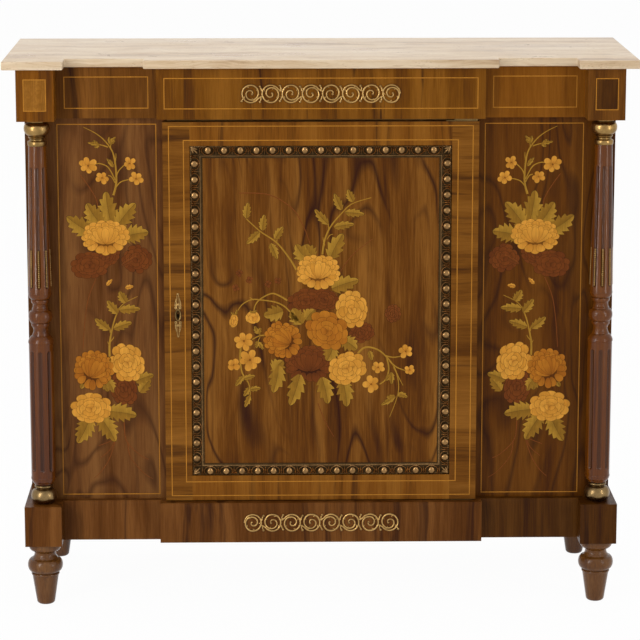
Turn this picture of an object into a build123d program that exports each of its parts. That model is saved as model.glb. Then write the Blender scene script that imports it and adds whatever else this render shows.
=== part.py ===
from build123d import *
import os
from math import atan2, cos, radians, sin

# A breakfront side cabinet with one door, one drawer behind the frieze,
# two free-standing fluted columns and four turned feet.
# Millimetres. -Y is the front, +X the right hand of someone facing it, +Z up.
# The origin is on the floor, in the middle of the whole cabinet's outline.

os.makedirs("parts", exist_ok=True)

# Driving sizes of the whole cabinet
overall_width = 1180.0
overall_depth = 420.0
overall_height = 1050.0

# Stone top
marble_thickness = 16.0
marble_edge_ease = 2.0
marble_front_overhang = 13.0
marble_side_overhang = 25.0
marble_back_overhang = 10.0
marble_inner_overhang = 18.0
marble_recess_overhang = 12.0
marble_centre_overhang = 18.0
marble_centre_end_overhang = 22.0

# Heights of the frieze, the plinth and the feet
frieze_height = 97.0
plinth_height = 78.0
foot_height = 121.0

# Breakfront plan: corner blocks stand furthest forward, then the centre, then the sides
corner_block_width = 70.0
side_section_setback = 49.0
centre_section_setback = 24.0
centre_section_width = 616.0
face_build_up = 14.0
return_build_up = 10.0

# Boards of the carcass
board = 20.0
shelf_board = 18.0
back_board = 10.0
door_lap = 8.5

# Door
door_back_gap = 3.0
door_thickness = 22.0
door_top_gap = 6.0
door_end_gap = 11.5
stile_width = 50.5
top_rail_height = 45.0
bottom_rail_height = 48.5
panel_thickness = 12.0
panel_recess = 5.0
panel_tongue = 8.0
groove_clearance = 0.2

# Moulding round the door panel
moulding_width = 24.0
moulding_height = 7.0
moulding_fillet_width = 4.0
moulding_fillet_height = 2.4
moulding_bed_height = 1.6
moulding_nose_width = 1.5
moulding_swell_width = 13.2
moulding_swell_height = 5.46

# Knife hinges
leaf_thickness = 2.0
leaf_width = 11.0
leaf_length = 40.0
leaf_gap = 0.3
leaf_tail_width = 28.0
leaf_tail_bite = 18.0
door_leaf_width = 9.0
door_leaf_length = 55.0
pin_radius = 2.0
pin_clearance = 0.08
pivot_from_edge = 6.5
pivot_from_face = 8.0

# Lock, its bolt and its strike
lock_height_above_floor = 563.5
keyhole_from_edge = 26.0
keyhole_radius = 2.6
keyhole_slot_width = 2.6
keyhole_slot_length = 8.0
lock_case_from_edge = 10.5
lock_case_width = 39.0
lock_case_height = 60.0
lock_case_depth = 16.0
lock_wall = 2.0
bolt_height = 14.0
bolt_thickness = 6.6
bolt_length = 30.0
bolt_rise = 6.5
bolt_clearance = 0.25
bolt_mortice_clearance = 0.5
bolt_inset = 0.5
bolt_throw = 8.0
talon_width = 7.0
talon_height = 4.0
key_post_radius = 1.3
key_post_end_gap = 1.0
strike_thickness = 1.2
strike_width = 16.0
strike_height = 36.0

# Escutcheon
escutcheon_length = 84.0
escutcheon_width = 15.0
escutcheon_body_length = 27.0
escutcheon_thickness = 1.8
escutcheon_leaf_width = 8.0
escutcheon_leaf_middle = 0.6
escutcheon_tip_width = 2.4
escutcheon_leaf_start = 9.0
escutcheon_body_drop = 1.0

# Drawer behind the frieze
drawer_gap_top = 2.0
drawer_gap_bottom = 0.5
drawer_gap_end = 1.0
drawer_gap_back = 1.0
drawer_side_gap = 1.0
drawer_side_thickness = 10.0
drawer_side_top_gap = 8.7
drawer_box_length = 273.0
drawer_bottom_thickness = 6.0
drawer_bottom_rise = 6.0
drawer_groove_depth = 3.0
drawer_seat_gap = 0.3
grip_length = 90.0
grip_depth = 13.0
grip_height = 9.0
grip_wall = 10.0
drawer_rail_depth = 60.0
runner_width = 20.0
guide_width = 15.0
guide_height = 20.0

# Shelf
shelf_underside = 562.0
shelf_front_setback = 38.0
shelf_back_gap = 5.0
shelf_end_gap = 0.5
cleat_width = 15.0
cleat_chamfer = 4.0

# Straight lengths that make up each round member of a turning
round_flats = 4

# Turned feet
foot_inset = 35.0
rear_foot_inset = 35.0
rear_foot_side_inset = 30.0
foot_collar_radius = 30.5
foot_collar_height = 16.0
foot_collar_lip = 4.0
foot_collar_slope_height = 7.0
foot_neck_radius = 20.5
foot_neck_height = 9.0
foot_ring_radius = 33.5
foot_ring_height = 34.0
foot_ring_foot_radius = 25.7
foot_ring_middle = 16.0
foot_ring_shoulder = 28.2
foot_bead_radius = 26.9
foot_bead_height = 4.0
foot_taper_top_radius = 25.2
foot_tip_radius = 17.2
foot_tip_chamfer = 4.0
foot_tenon_size = 16.0
foot_tenon_length = 22.0
foot_block_size = 60.0
tenon_clearance = 0.1

# Columns, from the plinth up
column_inset = 35.0
column_base_height = 37.0
ball_radius = 24.4
ball_foot_radius = 14.4
ball_middle = 15.0
neck_radius = 14.5
collar_radius = 17.4
collar_height = 6.0
collar_edge = 1.8
lower_shaft_length = 304.0
lower_shaft_radius = 23.2
shaft_shoulder_radius = 20.5
shaft_shoulder_height = 6.0
shaft_foot_height = 15.0
shaft_head_height = 21.0
shaft_head_shoulder = 12.0
shaft_head_collar = 7.0
shaft_head_edge = 4.0
knop_height = 56.0
knop_radius = 22.1
knop_neck_height = 8.0
knop_low = 12.0
knop_low_radius = 17.6
knop_middle = 24.0
knop_high = 35.0
knop_high_radius = 16.6
knop_top_neck = 42.0
knop_top_neck_height = 4.0
knop_collar_radius = 16.4
knop_collar_low = 50.0
upper_shaft_foot_radius = 21.6
upper_shaft_head_radius = 16.4
upper_shaft_shoulder_height = 5.0
upper_shaft_foot_height = 12.0
column_cap_height = 49.0
cap_ring_radius = 17.8
cap_ring_height = 9.0
cap_ring_edge = 1.5
cap_neck_radius = 13.5
cap_neck_low = 11.0
cap_neck_high = 13.0
cap_collar_radius = 16.4
cap_collar_low = 15.0
cap_collar_high = 18.0
cap_ball_middle = 31.0
cap_plate_radius = 18.4
cap_plate_height = 5.0
column_tenon_size = 12.0
column_tenon_length = 12.0
flute_count = 8
lower_flute_radius = 5.0
lower_flute_stand_off = 2.2
upper_flute_radius = 4.2
upper_flute_stand_off = 1.8
lower_flute_foot_margin = 28.0
lower_flute_top_margin = 42.0
upper_flute_top_margin = 39.0
upper_flute_foot_margin = 22.0
upper_flute_head_ease = 0.6
bead_string_radius = 2.0
bead_string_length = 72.0
bead_string_flats = 6
bead_string_clearance = 0.1

# Openwork scroll mounts on the frieze and the plinth
scroll_ring_radius = 17.3
scroll_strand = 3.6
scroll_pitch = 37.4
scroll_rings = 8
scroll_thickness = 3.0
scroll_ring_flats = 12
scroll_branch_angle = 60.0
scroll_spiral_turn = 360.0
scroll_spiral_steps = 9
scroll_spiral_end = 3.6
scroll_eye_radius = 3.8
scroll_eye_flats = 6
scroll_link_length = 18.0
scroll_link_lean = 50.0

# Levels worked out from the driving sizes
marble_underside = overall_height - marble_thickness
frieze_bottom = marble_underside - frieze_height
plinth_bottom = foot_height
plinth_top = plinth_bottom + plinth_height

# Planes seen from the front, from the furthest forward to the carcass
marble_front = -overall_depth / 2
marble_back = overall_depth / 2
corner_face = marble_front + marble_front_overhang
centre_face = corner_face + centre_section_setback
side_face = corner_face + side_section_setback
panel_face = side_face + face_build_up
panel_back = panel_face + board
carcass_back = marble_back - marble_back_overhang
back_face = carcass_back - back_board

# Stations across the width, measured from the middle
corner_outer = overall_width / 2 - marble_side_overhang
corner_inner = corner_outer - corner_block_width
carcass_half = corner_outer - return_build_up
inside_half = carcass_half - board
centre_half = centre_section_width / 2
door_half = centre_half - door_end_gap
opening_half = door_half - door_lap

# Door levels and planes
door_back = panel_face - door_back_gap
door_face = door_back - door_thickness
door_top = frieze_bottom - door_top_gap
door_bottom = plinth_top + leaf_gap + leaf_thickness
frame_inner_half = door_half - stile_width
frame_inner_top = door_top - top_rail_height
frame_inner_bottom = door_bottom + bottom_rail_height
panel_front = door_face + panel_recess

# Hinge pin
pivot_x = door_half - pivot_from_edge
pivot_y = door_face + pivot_from_face

# Lock places
keyhole_x = -door_half + keyhole_from_edge
lock_left = -door_half + lock_case_from_edge
lock_right = lock_left + lock_case_width
lock_back = door_back + lock_case_depth
bolt_y_back = lock_back - lock_wall - bolt_clearance
bolt_y_front = bolt_y_back - bolt_thickness
bolt_z_low = lock_height_above_floor + bolt_rise
bolt_z_high = bolt_z_low + bolt_height
bolt_tip = lock_left + bolt_inset
strike_outer = -opening_half - strike_thickness
strike_front = panel_face + (board - strike_width) / 2
strike_back = panel_back - (board - strike_width) / 2
strike_low = (bolt_z_low + bolt_z_high) / 2 - strike_height / 2
strike_high = strike_low + strike_height

# Drawer places
drawer_opening_top = marble_underside - shelf_board
drawer_front_back = panel_face - drawer_gap_back
drawer_box_half = opening_half - drawer_side_gap
drawer_box_low = frieze_bottom + drawer_seat_gap
drawer_box_high = drawer_opening_top - drawer_side_top_gap
drawer_box_back = drawer_front_back + drawer_box_length
drawer_bottom_low = drawer_box_low + drawer_bottom_rise
drawer_bottom_high = drawer_bottom_low + drawer_bottom_thickness

# Axes of the feet and the columns, on the right-hand side
front_foot_x = corner_outer - foot_inset
front_foot_y = corner_face + foot_inset
rear_foot_x = carcass_half - rear_foot_side_inset
rear_foot_y = carcass_back - rear_foot_inset
column_x = corner_outer - column_inset
column_y = corner_face + column_inset

# Column levels, from the plinth up
base_top = plinth_top + column_base_height
lower_top = base_top + lower_shaft_length
knop_top = lower_top + knop_height
cap_bottom = frieze_bottom - column_cap_height

sides = (("left", -1), ("right", 1))
side_signs = (-1, 1)


def save(piece, label):
    """Name a finished piece and write its file."""
    piece.part.label = label
    export_step(piece.part, f"parts/{label}.step")


def front_plane(y):
    """An upright drawing plane that faces the front, with +X to the right and +Z up."""
    return Plane.XZ.offset(-y)


def centred(low, high):
    """The middle of a span and its length."""
    return (low + high) / 2, abs(high - low)


def slab(x_span, y_span, z_span):
    """Draw a rectangle on its own level and pull it up: one plain board."""
    x_mid, x_size = centred(*x_span)
    y_mid, y_size = centred(*y_span)
    with BuildSketch(Plane.XY.offset(min(z_span))) as outline:
        with Locations((x_mid, y_mid)):
            Rectangle(x_size, y_size)
    extrude(outline.sketch, amount=abs(z_span[1] - z_span[0]))


def cut_slab(x_span, y_span, z_span):
    """Take a plain rectangular block out of the piece in hand."""
    x_mid, x_size = centred(*x_span)
    y_mid, y_size = centred(*y_span)
    with BuildSketch(Plane.XY.offset(min(z_span))) as outline:
        with Locations((x_mid, y_mid)):
            Rectangle(x_size, y_size)
    extrude(outline.sketch, amount=abs(z_span[1] - z_span[0]), mode=Mode.SUBTRACT)


def square_peg(x, y, z, size, length, mode):
    """A square peg that starts at level z and runs up, or down where its length is negative."""
    with BuildSketch(Plane.XY.offset(z)) as outline:
        with Locations((x, y)):
            Rectangle(size, size)
    extrude(outline.sketch, amount=length, mode=mode)


def cut_mortice(x, y, z, size, length):
    """A mortice for a square peg, with room round it and beyond its end."""
    room = tenon_clearance if length > 0 else -tenon_clearance
    square_peg(x, y, z, size + 2 * tenon_clearance, length + room, Mode.SUBTRACT)


def cut_keyhole(y_front, y_back):
    """Pierce a keyhole: a round barrel hole with a slot below it for the bit."""
    with BuildSketch(front_plane(y_back)) as outline:
        with Locations((keyhole_x, lock_height_above_floor)):
            Circle(keyhole_radius)
        with Locations((keyhole_x, lock_height_above_floor - keyhole_slot_length / 2)):
            Rectangle(keyhole_slot_width, keyhole_slot_length)
    extrude(outline.sketch, amount=y_back - y_front, mode=Mode.SUBTRACT)


# Stone top: its front steps in over the side sections and out again over the centre
stone_recess = side_face - marble_recess_overhang
stone_centre = centre_face - marble_centre_overhang
stone_corner_inner = corner_inner - marble_inner_overhang
stone_centre_half = centre_half + marble_centre_end_overhang
with BuildPart() as marble_top:
    with BuildSketch(Plane.XY.offset(marble_underside)):
        with BuildLine():
            Polyline(
                (-overall_width / 2, marble_back),
                (-overall_width / 2, marble_front),
                (-stone_corner_inner, marble_front),
                (-stone_corner_inner, stone_recess),
                (-stone_centre_half, stone_recess),
                (-stone_centre_half, stone_centre),
                (stone_centre_half, stone_centre),
                (stone_centre_half, stone_recess),
                (stone_corner_inner, stone_recess),
                (stone_corner_inner, marble_front),
                (overall_width / 2, marble_front),
                (overall_width / 2, marble_back),
                close=True,
            )
        make_face()
    extrude(amount=marble_thickness)
    chamfer(marble_top.faces().sort_by(Axis.Z)[-1].edges(), marble_edge_ease)
    chamfer(marble_top.faces().sort_by(Axis.Z)[0].edges(), marble_edge_ease)
save(marble_top, "marble_top")

# Board under the stone, with a tongue that reaches forward between the front panels
with BuildPart() as top_board:
    slab((-inside_half, inside_half), (panel_back, back_face), (drawer_opening_top, marble_underside))
    slab((-opening_half, opening_half), (panel_face, panel_back), (drawer_opening_top, marble_underside))
save(top_board, "top_board")

# Bottom of the cupboard
with BuildPart() as bottom_board:
    slab((-inside_half, inside_half), (panel_back, back_face), (plinth_top - shelf_board, plinth_top))
save(bottom_board, "bottom_board")

# Back
with BuildPart() as back_panel:
    slab((-inside_half, inside_half), (back_face, carcass_back), (plinth_bottom, marble_underside))
save(back_panel, "back_panel")

# Shelf on two end cleats
with BuildPart() as shelf:
    slab(
        (-inside_half + shelf_end_gap, inside_half - shelf_end_gap),
        (panel_face + shelf_front_setback, back_face - shelf_back_gap),
        (shelf_underside, shelf_underside + shelf_board),
    )
save(shelf, "shelf")

with BuildPart() as shelf_cleats:
    for side in side_signs:
        slab(
            (side * (inside_half - cleat_width), side * inside_half),
            (panel_face + shelf_front_setback + cleat_width, back_face - cleat_width),
            (shelf_underside - cleat_width, shelf_underside),
        )
    chamfer(shelf_cleats.faces().filter_by(Axis.Y).edges().filter_by(Axis.X).group_by(Axis.Z)[0], cleat_chamfer)
save(shelf_cleats, "shelf_cleats")

# Pieces of the carcass that come in pairs
for name, side in sides:
    with BuildPart() as front_panel:
        slab(
            (side * opening_half, side * carcass_half),
            (panel_face, panel_back),
            (plinth_bottom, marble_underside),
        )
        if side < 0:
            # housing for the strike, and behind it the mortice that takes the bolt
            cut_slab((strike_outer, -opening_half), (strike_front, strike_back), (strike_low, strike_high))
            cut_slab(
                (strike_outer - bolt_throw, -opening_half),
                (bolt_y_front - bolt_mortice_clearance, bolt_y_back + bolt_mortice_clearance),
                (bolt_z_low - bolt_mortice_clearance, bolt_z_high + bolt_mortice_clearance),
            )
    save(front_panel, f"front_panel_{name}")

    with BuildPart() as end_panel:
        slab(
            (side * inside_half, side * carcass_half),
            (panel_back, carcass_back),
            (plinth_bottom, marble_underside),
        )
    save(end_panel, f"end_panel_{name}")

    with BuildPart() as frieze_side:
        slab(
            (side * centre_half, side * corner_inner),
            (side_face, panel_face),
            (frieze_bottom, marble_underside),
        )
    save(frieze_side, f"frieze_side_{name}")

    with BuildPart() as frieze_block:
        slab(
            (side * corner_inner, side * corner_outer),
            (corner_face, panel_face),
            (frieze_bottom, marble_underside),
        )
        cut_mortice(side * column_x, column_y, frieze_bottom, column_tenon_size, column_tenon_length)
    save(frieze_block, f"frieze_block_{name}")

    with BuildPart() as frieze_return:
        slab(
            (side * carcass_half, side * corner_outer),
            (panel_face, carcass_back),
            (frieze_bottom, marble_underside),
        )
    save(frieze_return, f"frieze_return_{name}")

    with BuildPart() as plinth_side:
        slab(
            (side * centre_half, side * corner_inner),
            (side_face, panel_face),
            (plinth_bottom, plinth_top),
        )
    save(plinth_side, f"plinth_side_{name}")

    with BuildPart() as plinth_block:
        slab(
            (side * corner_inner, side * corner_outer),
            (corner_face, panel_face),
            (plinth_bottom, plinth_top),
        )
        cut_mortice(side * column_x, column_y, plinth_top, column_tenon_size, -column_tenon_length)
        cut_mortice(side * front_foot_x, front_foot_y, plinth_bottom, foot_tenon_size, foot_tenon_length)
    save(plinth_block, f"plinth_block_{name}")

    with BuildPart() as plinth_return:
        slab(
            (side * carcass_half, side * corner_outer),
            (panel_face, carcass_back),
            (plinth_bottom, plinth_top),
        )
    save(plinth_return, f"plinth_return_{name}")

    # A runner under each side of the drawer, with the guide that keeps it straight
    with BuildPart() as drawer_runner:
        slab(
            (side * (opening_half - runner_width), side * (opening_half + guide_width)),
            (panel_face + drawer_rail_depth, back_face),
            (frieze_bottom - board, frieze_bottom),
        )
        slab(
            (side * opening_half, side * (opening_half + guide_width)),
            (panel_face + drawer_rail_depth, back_face),
            (frieze_bottom, frieze_bottom + guide_height),
        )
    save(drawer_runner, f"drawer_runner_{name}")

# Rail under the drawer, let into both ends, with its front edge between the front panels
upper_leaf_low = door_top + leaf_thickness + leaf_gap
with BuildPart() as drawer_rail:
    slab(
        (-inside_half, inside_half),
        (panel_back, panel_face + drawer_rail_depth),
        (frieze_bottom - board, frieze_bottom),
    )
    slab((-opening_half, opening_half), (panel_face, panel_back), (frieze_bottom - board, frieze_bottom))
    # housing for the tail of the upper hinge
    cut_slab(
        (pivot_x - leaf_length - pin_clearance, pivot_x - leaf_length + leaf_tail_width + pin_clearance),
        (panel_face, panel_face + leaf_tail_bite),
        (upper_leaf_low, frieze_bottom),
    )
save(drawer_rail, "drawer_rail")

# Centre of the plinth, which steps forward under the door
with BuildPart() as plinth_centre:
    slab((-centre_half, centre_half), (centre_face, panel_face), (plinth_bottom, plinth_top))
    slab((-opening_half, opening_half), (panel_face, panel_back), (plinth_bottom, plinth_top))
    # housing for the lower hinge, flush with the top
    with BuildSketch(Plane.XY.offset(plinth_top)):
        with Locations((pivot_x - leaf_length / 2, pivot_y)):
            Rectangle(leaf_length, leaf_width)
        with Locations((pivot_x, pivot_y)):
            Circle(leaf_width / 2)
    extrude(amount=-leaf_thickness, mode=Mode.SUBTRACT)
save(plinth_centre, "plinth_centre")

# Glue blocks that take the tenons of the rear feet
with BuildPart() as foot_blocks:
    for side in side_signs:
        slab(
            (side * (inside_half - foot_block_size), side * inside_half),
            (back_face - foot_block_size, back_face),
            (plinth_bottom, plinth_top - shelf_board),
        )
        cut_mortice(side * rear_foot_x, rear_foot_y, plinth_bottom, foot_tenon_size, foot_tenon_length)
save(foot_blocks, "foot_blocks")


def round_member(start, bulge, end):
    """Points along the arc through three points of a turning's profile."""
    arc = ThreePointArc(start, bulge, end, mode=Mode.PRIVATE)
    points = [arc @ (step / round_flats) for step in range(round_flats + 1)]
    return [(point.X, point.Y) for point in points]


def turn(x, y, z, profile):
    """Turn a piece about an upright axis from its profile: pairs of radius and height above z."""
    with BuildSketch(Plane(origin=(x, y, z), x_dir=(1, 0, 0), z_dir=(0, -1, 0))) as outline:
        with BuildLine():
            Polyline(*profile, close=True)
        make_face()
    revolve(outline.sketch, axis=Axis((x, y, 0), (0, 0, 1)))


# One foot from the floor up: taper, bead, ring, neck and collar, with a tenon on top
foot_taper_top = foot_height - foot_collar_height - foot_neck_height - foot_ring_height - foot_bead_height
foot_bead_top = foot_taper_top + foot_bead_height
foot_ring_top = foot_bead_top + foot_ring_height
foot_neck_top = foot_ring_top + foot_neck_height
foot_profile = [
    (0, 0),
    (foot_tip_radius - foot_tip_chamfer, 0),
    (foot_tip_radius, foot_tip_chamfer),
    (foot_taper_top_radius, foot_taper_top),
    (foot_bead_radius, foot_taper_top),
    (foot_bead_radius, foot_bead_top),
    *round_member(
        (foot_ring_foot_radius, foot_bead_top),
        (foot_ring_radius, foot_bead_top + foot_ring_middle),
        (foot_ring_foot_radius, foot_bead_top + foot_ring_shoulder),
    ),
    (foot_neck_radius, foot_ring_top),
    (foot_neck_radius, foot_neck_top),
    (foot_collar_radius - foot_collar_lip, foot_neck_top),
    (foot_collar_radius, foot_neck_top + foot_collar_slope_height),
    (foot_collar_radius, foot_height),
    (0, foot_height),
]

with BuildPart() as feet_front:
    for side in side_signs:
        turn(side * front_foot_x, front_foot_y, 0, foot_profile)
        square_peg(side * front_foot_x, front_foot_y, foot_height, foot_tenon_size, foot_tenon_length, Mode.ADD)
save(feet_front, "feet_front")

with BuildPart() as feet_rear:
    for side in side_signs:
        turn(side * rear_foot_x, rear_foot_y, 0, foot_profile)
        square_peg(side * rear_foot_x, rear_foot_y, foot_height, foot_tenon_size, foot_tenon_length, Mode.ADD)
save(feet_rear, "feet_rear")


def flute_cutter(low, high, low_radius, high_radius, tool_radius, stand_off):
    """A rod laid along the shaft's slope on its +X side, to cut one flute."""
    rise = high - low
    lean = atan2(low_radius - high_radius, rise)
    with BuildPart() as cutter:
        with BuildSketch(Plane((low_radius + stand_off, 0, low), z_dir=(-sin(lean), 0, cos(lean)))):
            Circle(tool_radius)
        extrude(amount=rise / cos(lean))
    return cutter


lower_flute = flute_cutter(
    base_top + lower_flute_foot_margin,
    lower_top - lower_flute_top_margin,
    lower_shaft_radius,
    lower_shaft_radius,
    lower_flute_radius,
    lower_flute_stand_off,
)
upper_flute_low = knop_top + upper_flute_foot_margin
upper_flute_high = cap_bottom - upper_flute_top_margin
upper_flute = flute_cutter(
    upper_flute_low,
    upper_flute_high,
    upper_shaft_foot_radius,
    upper_shaft_head_radius + upper_flute_head_ease,
    upper_flute_radius,
    upper_flute_stand_off,
)

column_places = ((-column_x, column_y), (column_x, column_y))

# Brass bases: a flattened ball with a small ring on it, and a tenon into the plinth
base_collar_low = column_base_height - collar_height
base_profile = [
    (0, column_base_height),
    (0, 0),
    *round_member((ball_foot_radius, 0), (ball_radius, ball_middle), (neck_radius, base_collar_low)),
    (collar_radius, base_collar_low + collar_edge),
    (collar_radius, column_base_height - collar_edge),
    (neck_radius, column_base_height),
]
with BuildPart() as column_bases:
    for x, y in column_places:
        turn(x, y, plinth_top, base_profile)
        square_peg(x, y, plinth_top, column_tenon_size, -column_tenon_length, Mode.ADD)
save(column_bases, "column_bases")

# Lower shafts, each with the knop turned on it
shaft = lower_shaft_length
lower_profile = [
    (0, shaft + knop_height),
    (0, 0),
    (neck_radius, 0),
    (shaft_shoulder_radius, shaft_shoulder_height),
    (lower_shaft_radius, shaft_foot_height),
    (lower_shaft_radius, shaft - shaft_head_height),
    (shaft_shoulder_radius, shaft - shaft_head_shoulder),
    (collar_radius, shaft - shaft_head_collar),
    (collar_radius, shaft - shaft_head_edge),
    (neck_radius, shaft),
    (neck_radius, shaft + knop_neck_height),
    *round_member(
        (knop_low_radius, shaft + knop_low),
        (knop_radius, shaft + knop_middle),
        (knop_high_radius, shaft + knop_high),
    ),
    (neck_radius, shaft + knop_top_neck),
    (neck_radius, shaft + knop_top_neck + knop_top_neck_height),
    (knop_collar_radius, shaft + knop_collar_low),
    (knop_collar_radius, shaft + knop_height),
]
with BuildPart() as column_lower_shafts:
    for x, y in column_places:
        turn(x, y, base_top, lower_profile)
        with Locations((x, y, 0)):
            with PolarLocations(0, flute_count, start_angle=-90):
                add(lower_flute.part, mode=Mode.SUBTRACT)
save(column_lower_shafts, "column_lower_shafts")

# Upper shafts, which taper towards the caps
taper = cap_bottom - knop_top
upper_profile = [
    (0, 0),
    (knop_collar_radius, 0),
    (shaft_shoulder_radius, upper_shaft_shoulder_height),
    (upper_shaft_foot_radius, upper_shaft_foot_height),
    (upper_shaft_head_radius, taper),
    (0, taper),
]
with BuildPart() as column_upper_shafts:
    for x, y in column_places:
        turn(x, y, knop_top, upper_profile)
        with Locations((x, y, 0)):
            with PolarLocations(0, flute_count, start_angle=-90):
                add(upper_flute.part, mode=Mode.SUBTRACT)
save(column_upper_shafts, "column_upper_shafts")

# Brass caps: two rings, a flattened ball and a plate, and a tenon into the frieze
cap_plate_low = column_cap_height - cap_plate_height
cap_profile = [
    (0, column_cap_height),
    (0, 0),
    (cap_ring_radius - cap_ring_edge, 0),
    (cap_ring_radius, cap_ring_edge),
    (cap_ring_radius, cap_ring_height - cap_ring_edge),
    (cap_neck_radius, cap_neck_low),
    (cap_neck_radius, cap_neck_high),
    (cap_collar_radius, cap_collar_low),
    *round_member(
        (cap_collar_radius, cap_collar_high),
        (ball_radius, cap_ball_middle),
        (cap_plate_radius, cap_plate_low),
    ),
    (cap_plate_radius, column_cap_height),
]
with BuildPart() as column_caps:
    for x, y in column_places:
        turn(x, y, cap_bottom, cap_profile)
        square_peg(x, y, frieze_bottom, column_tenon_size, column_tenon_length, Mode.ADD)
save(column_caps, "column_caps")

# Brass strings that lie in the lower part of the upper flutes
string_low = upper_flute_low + upper_flute_radius
string_lean = atan2(
    upper_shaft_foot_radius - upper_shaft_head_radius - upper_flute_head_ease,
    upper_flute_high - upper_flute_low,
)
flute_floor_radius = upper_shaft_foot_radius + upper_flute_stand_off - upper_flute_radius
string_seat = flute_floor_radius + bead_string_clearance + bead_string_radius
string_tilt_x = -sin(string_lean)
string_tilt_z = cos(string_lean)
with BuildPart() as bead_string:
    with BuildSketch(Plane((string_seat, 0, string_low), z_dir=(string_tilt_x, 0, string_tilt_z))):
        RegularPolygon(bead_string_radius, bead_string_flats)
    extrude(amount=bead_string_length)
with BuildPart() as flute_beads:
    for side in side_signs:
        with Locations((side * column_x, column_y, 0)):
            with PolarLocations(0, flute_count, start_angle=-90):
                add(bead_string.part)
save(flute_beads, "flute_beads")

# Door frame: two full-height stiles with rails between them, grooved for the panel
groove_front = panel_front - groove_clearance
groove_back = panel_front + panel_thickness + groove_clearance
groove_depth = panel_tongue + groove_clearance
for name, side in sides:
    with BuildPart() as door_stile:
        slab((side * frame_inner_half, side * door_half), (door_face, door_back), (door_bottom, door_top))
        cut_slab(
            (side * frame_inner_half, side * (frame_inner_half + groove_depth)),
            (groove_front, groove_back),
            (frame_inner_bottom - groove_depth, frame_inner_top + groove_depth),
        )
        if side < 0:
            cut_keyhole(door_face, door_back)
    save(door_stile, f"door_stile_{name}")

for name, outer, inner, into in (
    ("top", door_top, frame_inner_top, 1),
    ("bottom", door_bottom, frame_inner_bottom, -1),
):
    with BuildPart() as door_rail:
        slab((-frame_inner_half, frame_inner_half), (door_face, door_back), sorted((outer, inner)))
        cut_slab(
            (-frame_inner_half, frame_inner_half),
            (groove_front, groove_back),
            sorted((inner, inner + into * groove_depth)),
        )
    save(door_rail, f"door_rail_{name}")

with BuildPart() as door_panel:
    slab(
        (-frame_inner_half - panel_tongue, frame_inner_half + panel_tongue),
        (panel_front, panel_front + panel_thickness),
        (frame_inner_bottom - panel_tongue, frame_inner_top + panel_tongue),
    )
save(door_panel, "door_panel")

# Ovolo moulding, mitred at its corners, seated on the panel against the frame
moulding_mid_z = (frame_inner_bottom + frame_inner_top) / 2
moulding_rise = frame_inner_top - frame_inner_bottom
with BuildPart() as door_moulding:
    with BuildLine():
        Polyline(
            (0, panel_front, frame_inner_bottom),
            (frame_inner_half, panel_front, frame_inner_bottom),
            (frame_inner_half, panel_front, frame_inner_top),
            (-frame_inner_half, panel_front, frame_inner_top),
            (-frame_inner_half, panel_front, frame_inner_bottom),
            close=True,
        )
    with BuildSketch(Plane((0, panel_front, frame_inner_bottom), x_dir=(0, 0, 1), z_dir=(1, 0, 0))):
        with BuildLine():
            Line((0, 0), (0, moulding_height))
            Line((0, moulding_height), (moulding_nose_width, moulding_height))
            ThreePointArc(
                (moulding_nose_width, moulding_height),
                (moulding_swell_width, moulding_swell_height),
                (moulding_width - moulding_fillet_width, moulding_bed_height),
            )
            Line(
                (moulding_width - moulding_fillet_width, moulding_bed_height),
                (moulding_width - moulding_fillet_width, moulding_fillet_height),
            )
            Line(
                (moulding_width - moulding_fillet_width, moulding_fillet_height),
                (moulding_width, moulding_fillet_height),
            )
            Line((moulding_width, moulding_fillet_height), (moulding_width, 0))
            Line((moulding_width, 0), (0, 0))
        make_face()
    sweep(transition=Transition.RIGHT)
save(door_moulding, "door_moulding")

# Escutcheon: an oval round the keyhole, with a slender leaf above and below it
escutcheon_reach = escutcheon_length / 2
with BuildPart() as escutcheon:
    with BuildSketch(front_plane(door_face)):
        with Locations((keyhole_x, lock_height_above_floor - escutcheon_body_drop)):
            Ellipse(escutcheon_width / 2, escutcheon_body_length / 2)
        for way in (1, -1):
            leaf_root = lock_height_above_floor + way * escutcheon_leaf_start
            leaf_middle = lock_height_above_floor + way * escutcheon_reach * escutcheon_leaf_middle
            leaf_tip = lock_height_above_floor + way * escutcheon_reach
            with BuildLine():
                Polyline(
                    (keyhole_x, leaf_root),
                    (keyhole_x + escutcheon_leaf_width / 2, leaf_middle),
                    (keyhole_x + escutcheon_tip_width / 2, leaf_tip),
                    (keyhole_x - escutcheon_tip_width / 2, leaf_tip),
                    (keyhole_x - escutcheon_leaf_width / 2, leaf_middle),
                    close=True,
                )
            make_face()
    extrude(amount=escutcheon_thickness)
    cut_keyhole(door_face - escutcheon_thickness, door_face)
save(escutcheon, "escutcheon")

# Cupboard lock on the back of the door: an open case with a post for the key
lock_low = lock_height_above_floor - lock_case_height / 2
lock_high = lock_height_above_floor + lock_case_height / 2
with BuildPart() as lock_case:
    slab((lock_left, lock_right), (door_back, lock_back), (lock_low, lock_high))
    cut_slab(
        (lock_left + lock_wall, lock_right - lock_wall),
        (door_back + lock_wall, lock_back - lock_wall),
        (lock_low + lock_wall, lock_high - lock_wall),
    )
    cut_slab(
        (lock_left, lock_left + lock_wall),
        (bolt_y_front - bolt_clearance, bolt_y_back + bolt_clearance),
        (bolt_z_low - bolt_clearance, bolt_z_high + bolt_clearance),
    )
    cut_keyhole(door_back, door_back + lock_wall)
    with BuildSketch(front_plane(lock_back - lock_wall)):
        with Locations((keyhole_x, lock_height_above_floor)):
            Circle(key_post_radius)
    extrude(amount=lock_case_depth - lock_wall - key_post_end_gap)
save(lock_case, "lock_case")

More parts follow.
